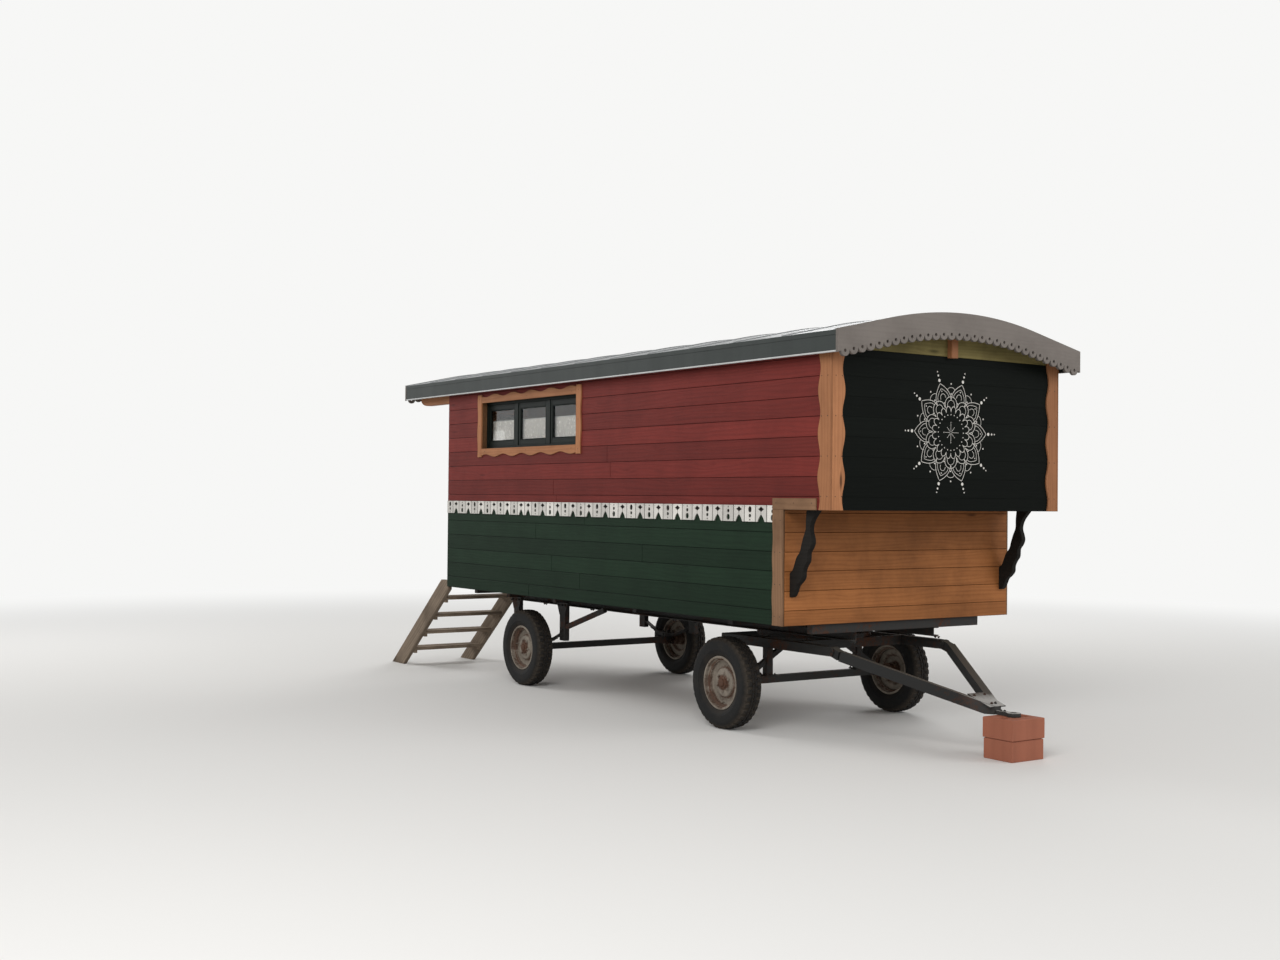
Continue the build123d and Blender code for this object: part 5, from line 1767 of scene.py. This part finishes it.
def makeBlocks():
    low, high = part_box("support_block")
    middle, size = (low + high) / 2, high - low
    pile, seam, core = Joinery("clayBlocks"), blocks["seam"], blocks["core"]
    tall = (size.z - seam) / 2

    def centred(length, width, y=0.0):
        return rectangle(length, width, -length / 2, y - width / 2)

    for k, (shift, lean) in enumerate(((blocks["shift"], blocks["lean"]), (0.0, 0.0))):
        length, width = size.x - 2 * shift, size.y - 2 * shift
        loops = [centred(length, width), centred(core, core)]
        for side in (-1, 1):
            loops.append(centred(core, core * blocks["slim"], side * width / 2 * blocks["slim"]))
        place = upwards(middle.x, middle.y, low.z + k * (tall + seam)) @ Matrix.Rotation(lean, 4, "Z")
        pile.add(plate(loops, tall, blocks["chamfer"]), place)
    bed = plate([centred(size.x - blocks["inner"], size.y - blocks["inner"])], seam * 2, 0.001)
    pile.add(bed, upwards(middle.x, middle.y, low.z + tall - seam / 2))
    pile.build("clay", "fired_clay", ["support_block"])


makeBlocks()

# Camera at the photo's angle
viewpoint = {
    "place": (11.177, -8.284, 1.855),
    "azimuth": 55.57,
    "pitch": 0.73,
    "roll": 0.549,
    "lens": 41.36,
    "sensor": 36,
}


def makeCamera():
    turn, tilt, roll = (math.radians(viewpoint[name]) for name in ("azimuth", "pitch", "roll"))
    ahead = Vector((-math.sin(turn) * math.cos(tilt), math.cos(turn) * math.cos(tilt), math.sin(tilt)))
    right = Vector((math.cos(turn), math.sin(turn), 0))
    up = right.cross(ahead)
    leanRight = right * math.cos(roll) + up * math.sin(roll)
    leanUp = up * math.cos(roll) - right * math.sin(roll)
    data = bpy.data.cameras.new("camera")
    data.lens, data.sensor_width = viewpoint["lens"], viewpoint["sensor"]
    camera = bpy.data.objects.new("camera", data)
    matrix = Matrix((leanRight, leanUp, -ahead)).transposed().to_4x4()
    matrix.translation = Vector(viewpoint["place"])
    camera.matrix_world = matrix
    bpy.context.scene.collection.objects.link(camera)
    bpy.context.scene.camera = camera


# Studio: pale floor, soft lamps and a pale world
studio = {
    "floorSize": 160.0,
    "fade": (5.5, 17.0),
    "floorColour": (0.8, 0.79, 0.77),
    "worldColour": (0.93, 0.93, 0.92),
    "worldLevel": 0.42,
    "aim": (0, 0, 1.4),
    # place, size, power
    "lamps": (
        ((9.0, -10.0, 8.0), 7.0, 900.0),
        ((12.0, 7.0, 6.0), 6.0, 420.0),
        ((-9.0, -6.0, 7.0), 6.0, 380.0),
        ((-6.0, 9.0, 8.0), 6.0, 420.0),
    ),
}


def seenRays(finish):
    outputs = finish.node("LightPath").socket.node.outputs
    return [Wire(finish, outputs["Is " + kind + " Ray"]) for kind in ("Camera", "Glossy", "Transmission")]


def makeFloor():
    # The floor fades into the world's colour far away, and is clear from below.
    mesh = bpy.data.meshes.new("studioFloor")
    half = studio["floorSize"] / 2
    corners = [(-half, -half, 0), (half, -half, 0), (half, half, 0), (-half, half, 0)]
    mesh.from_pydata(corners, [], [(0, 1, 2, 3)])
    floor = bpy.data.objects.new("studioFloor", mesh)
    bpy.context.scene.collection.objects.link(floor)
    finish = Finish("studioFloor")
    away = finish.vectors("LENGTH", finish.place(), output="Value")
    start, end = studio["fade"]
    span = {"Value": away, "From Min": start, "From Max": end}
    far = finish.node("MapRange", {"interpolation_type": "SMOOTHSTEP"}, span)
    looks = {"Base Color": studio["floorColour"], "Roughness": 0.8, "Specular IOR Level": 0.1}
    plain = finish.node("BsdfPrincipled", {}, looks)
    pale = finish.node("Emission", {}, {"Color": studio["worldColour"], "Strength": 1.0})
    camera, glossy, through = seenRays(finish)
    shade = finish.node("MixShader", {}, {0: far * (camera + glossy + through), 1: plain, 2: pale})
    below, clear = finish.node("NewGeometry", output="Backfacing"), finish.node("BsdfTransparent")
    both = finish.node("MixShader", {}, {0: below, 1: shade, 2: clear})
    mesh.materials.append(finish.node("OutputMaterial", {}, {0: both}))


def makeLight():
    world = Finish("studio", "worlds")
    camera, glossy, through = seenRays(world)
    seen = world.maths("MAXIMUM", world.maths("MAXIMUM", camera, glossy), through)
    level = world.node("MapRange", {}, {"Value": seen, "To Min": studio["worldLevel"], "To Max": 1.0})
    pale = world.node("Background", {}, {"Color": studio["worldColour"], "Strength": level})
    bpy.context.scene.world = world.node("OutputWorld", {}, {0: pale})
    for number, (place, size, power) in enumerate(studio["lamps"]):
        data = bpy.data.lights.new("lamp" + str(number), "AREA")
        data.energy, data.size = power, size
        lamp = bpy.data.objects.new("lamp" + str(number), data)
        lamp.location = place
        lamp.rotation_euler = (Vector(studio["aim"]) - Vector(place)).to_track_quat("-Z", "Y").to_euler()
        bpy.context.scene.collection.objects.link(lamp)


# Pieces of the frame that keep their shape
keptFinishes = {
    "steel": ("chassis_rails", "chassis_cross_beams", "plan_braces", "rear_axle", "rear_hangers",
              "turntable_upper", "turntable_lower", "bogie_frame", "front_axle"),
    "drawbar": ("drawbar_arms", "towing_eye"),
    "bare": ("door_handle",),
    "glass": ("window_panes", "door_pane"),
    "lining": ("lower_wall_right", "lower_wall_left", "lower_wall_front", "upper_wall_right",
               "upper_wall_left", "upper_wall_front", "rear_wall_lower", "rear_wall_upper"),
    "underside": ("floor", "alcove_floor"),
}
bevelWidth = {"steel": 0.003, "drawbar": 0.003, "bare": 0.002}


def dressKept():
    for finish, names in keptFinishes.items():
        for node in (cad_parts[name] for name in names):
            node.data.materials.clear()
            node.data.materials.append(finishes[finish])
            if finish in bevelWidth and not node.hide_render:
                node.modifiers.new("weld", "WELD").merge_threshold = 0.00002
                bevel = node.modifiers.new("bevel", "BEVEL")
                bevel.width = bevelWidth[finish]
                bevel.segments = 2
                bevel.limit_method = "ANGLE"
                bevel.angle_limit = math.radians(40)
                bevel.use_clamp_overlap = True


dressKept()
makeCamera()
makeFloor()
makeLight()
bpy.context.scene.view_settings.view_transform = "Standard"
print("camera and studio made")
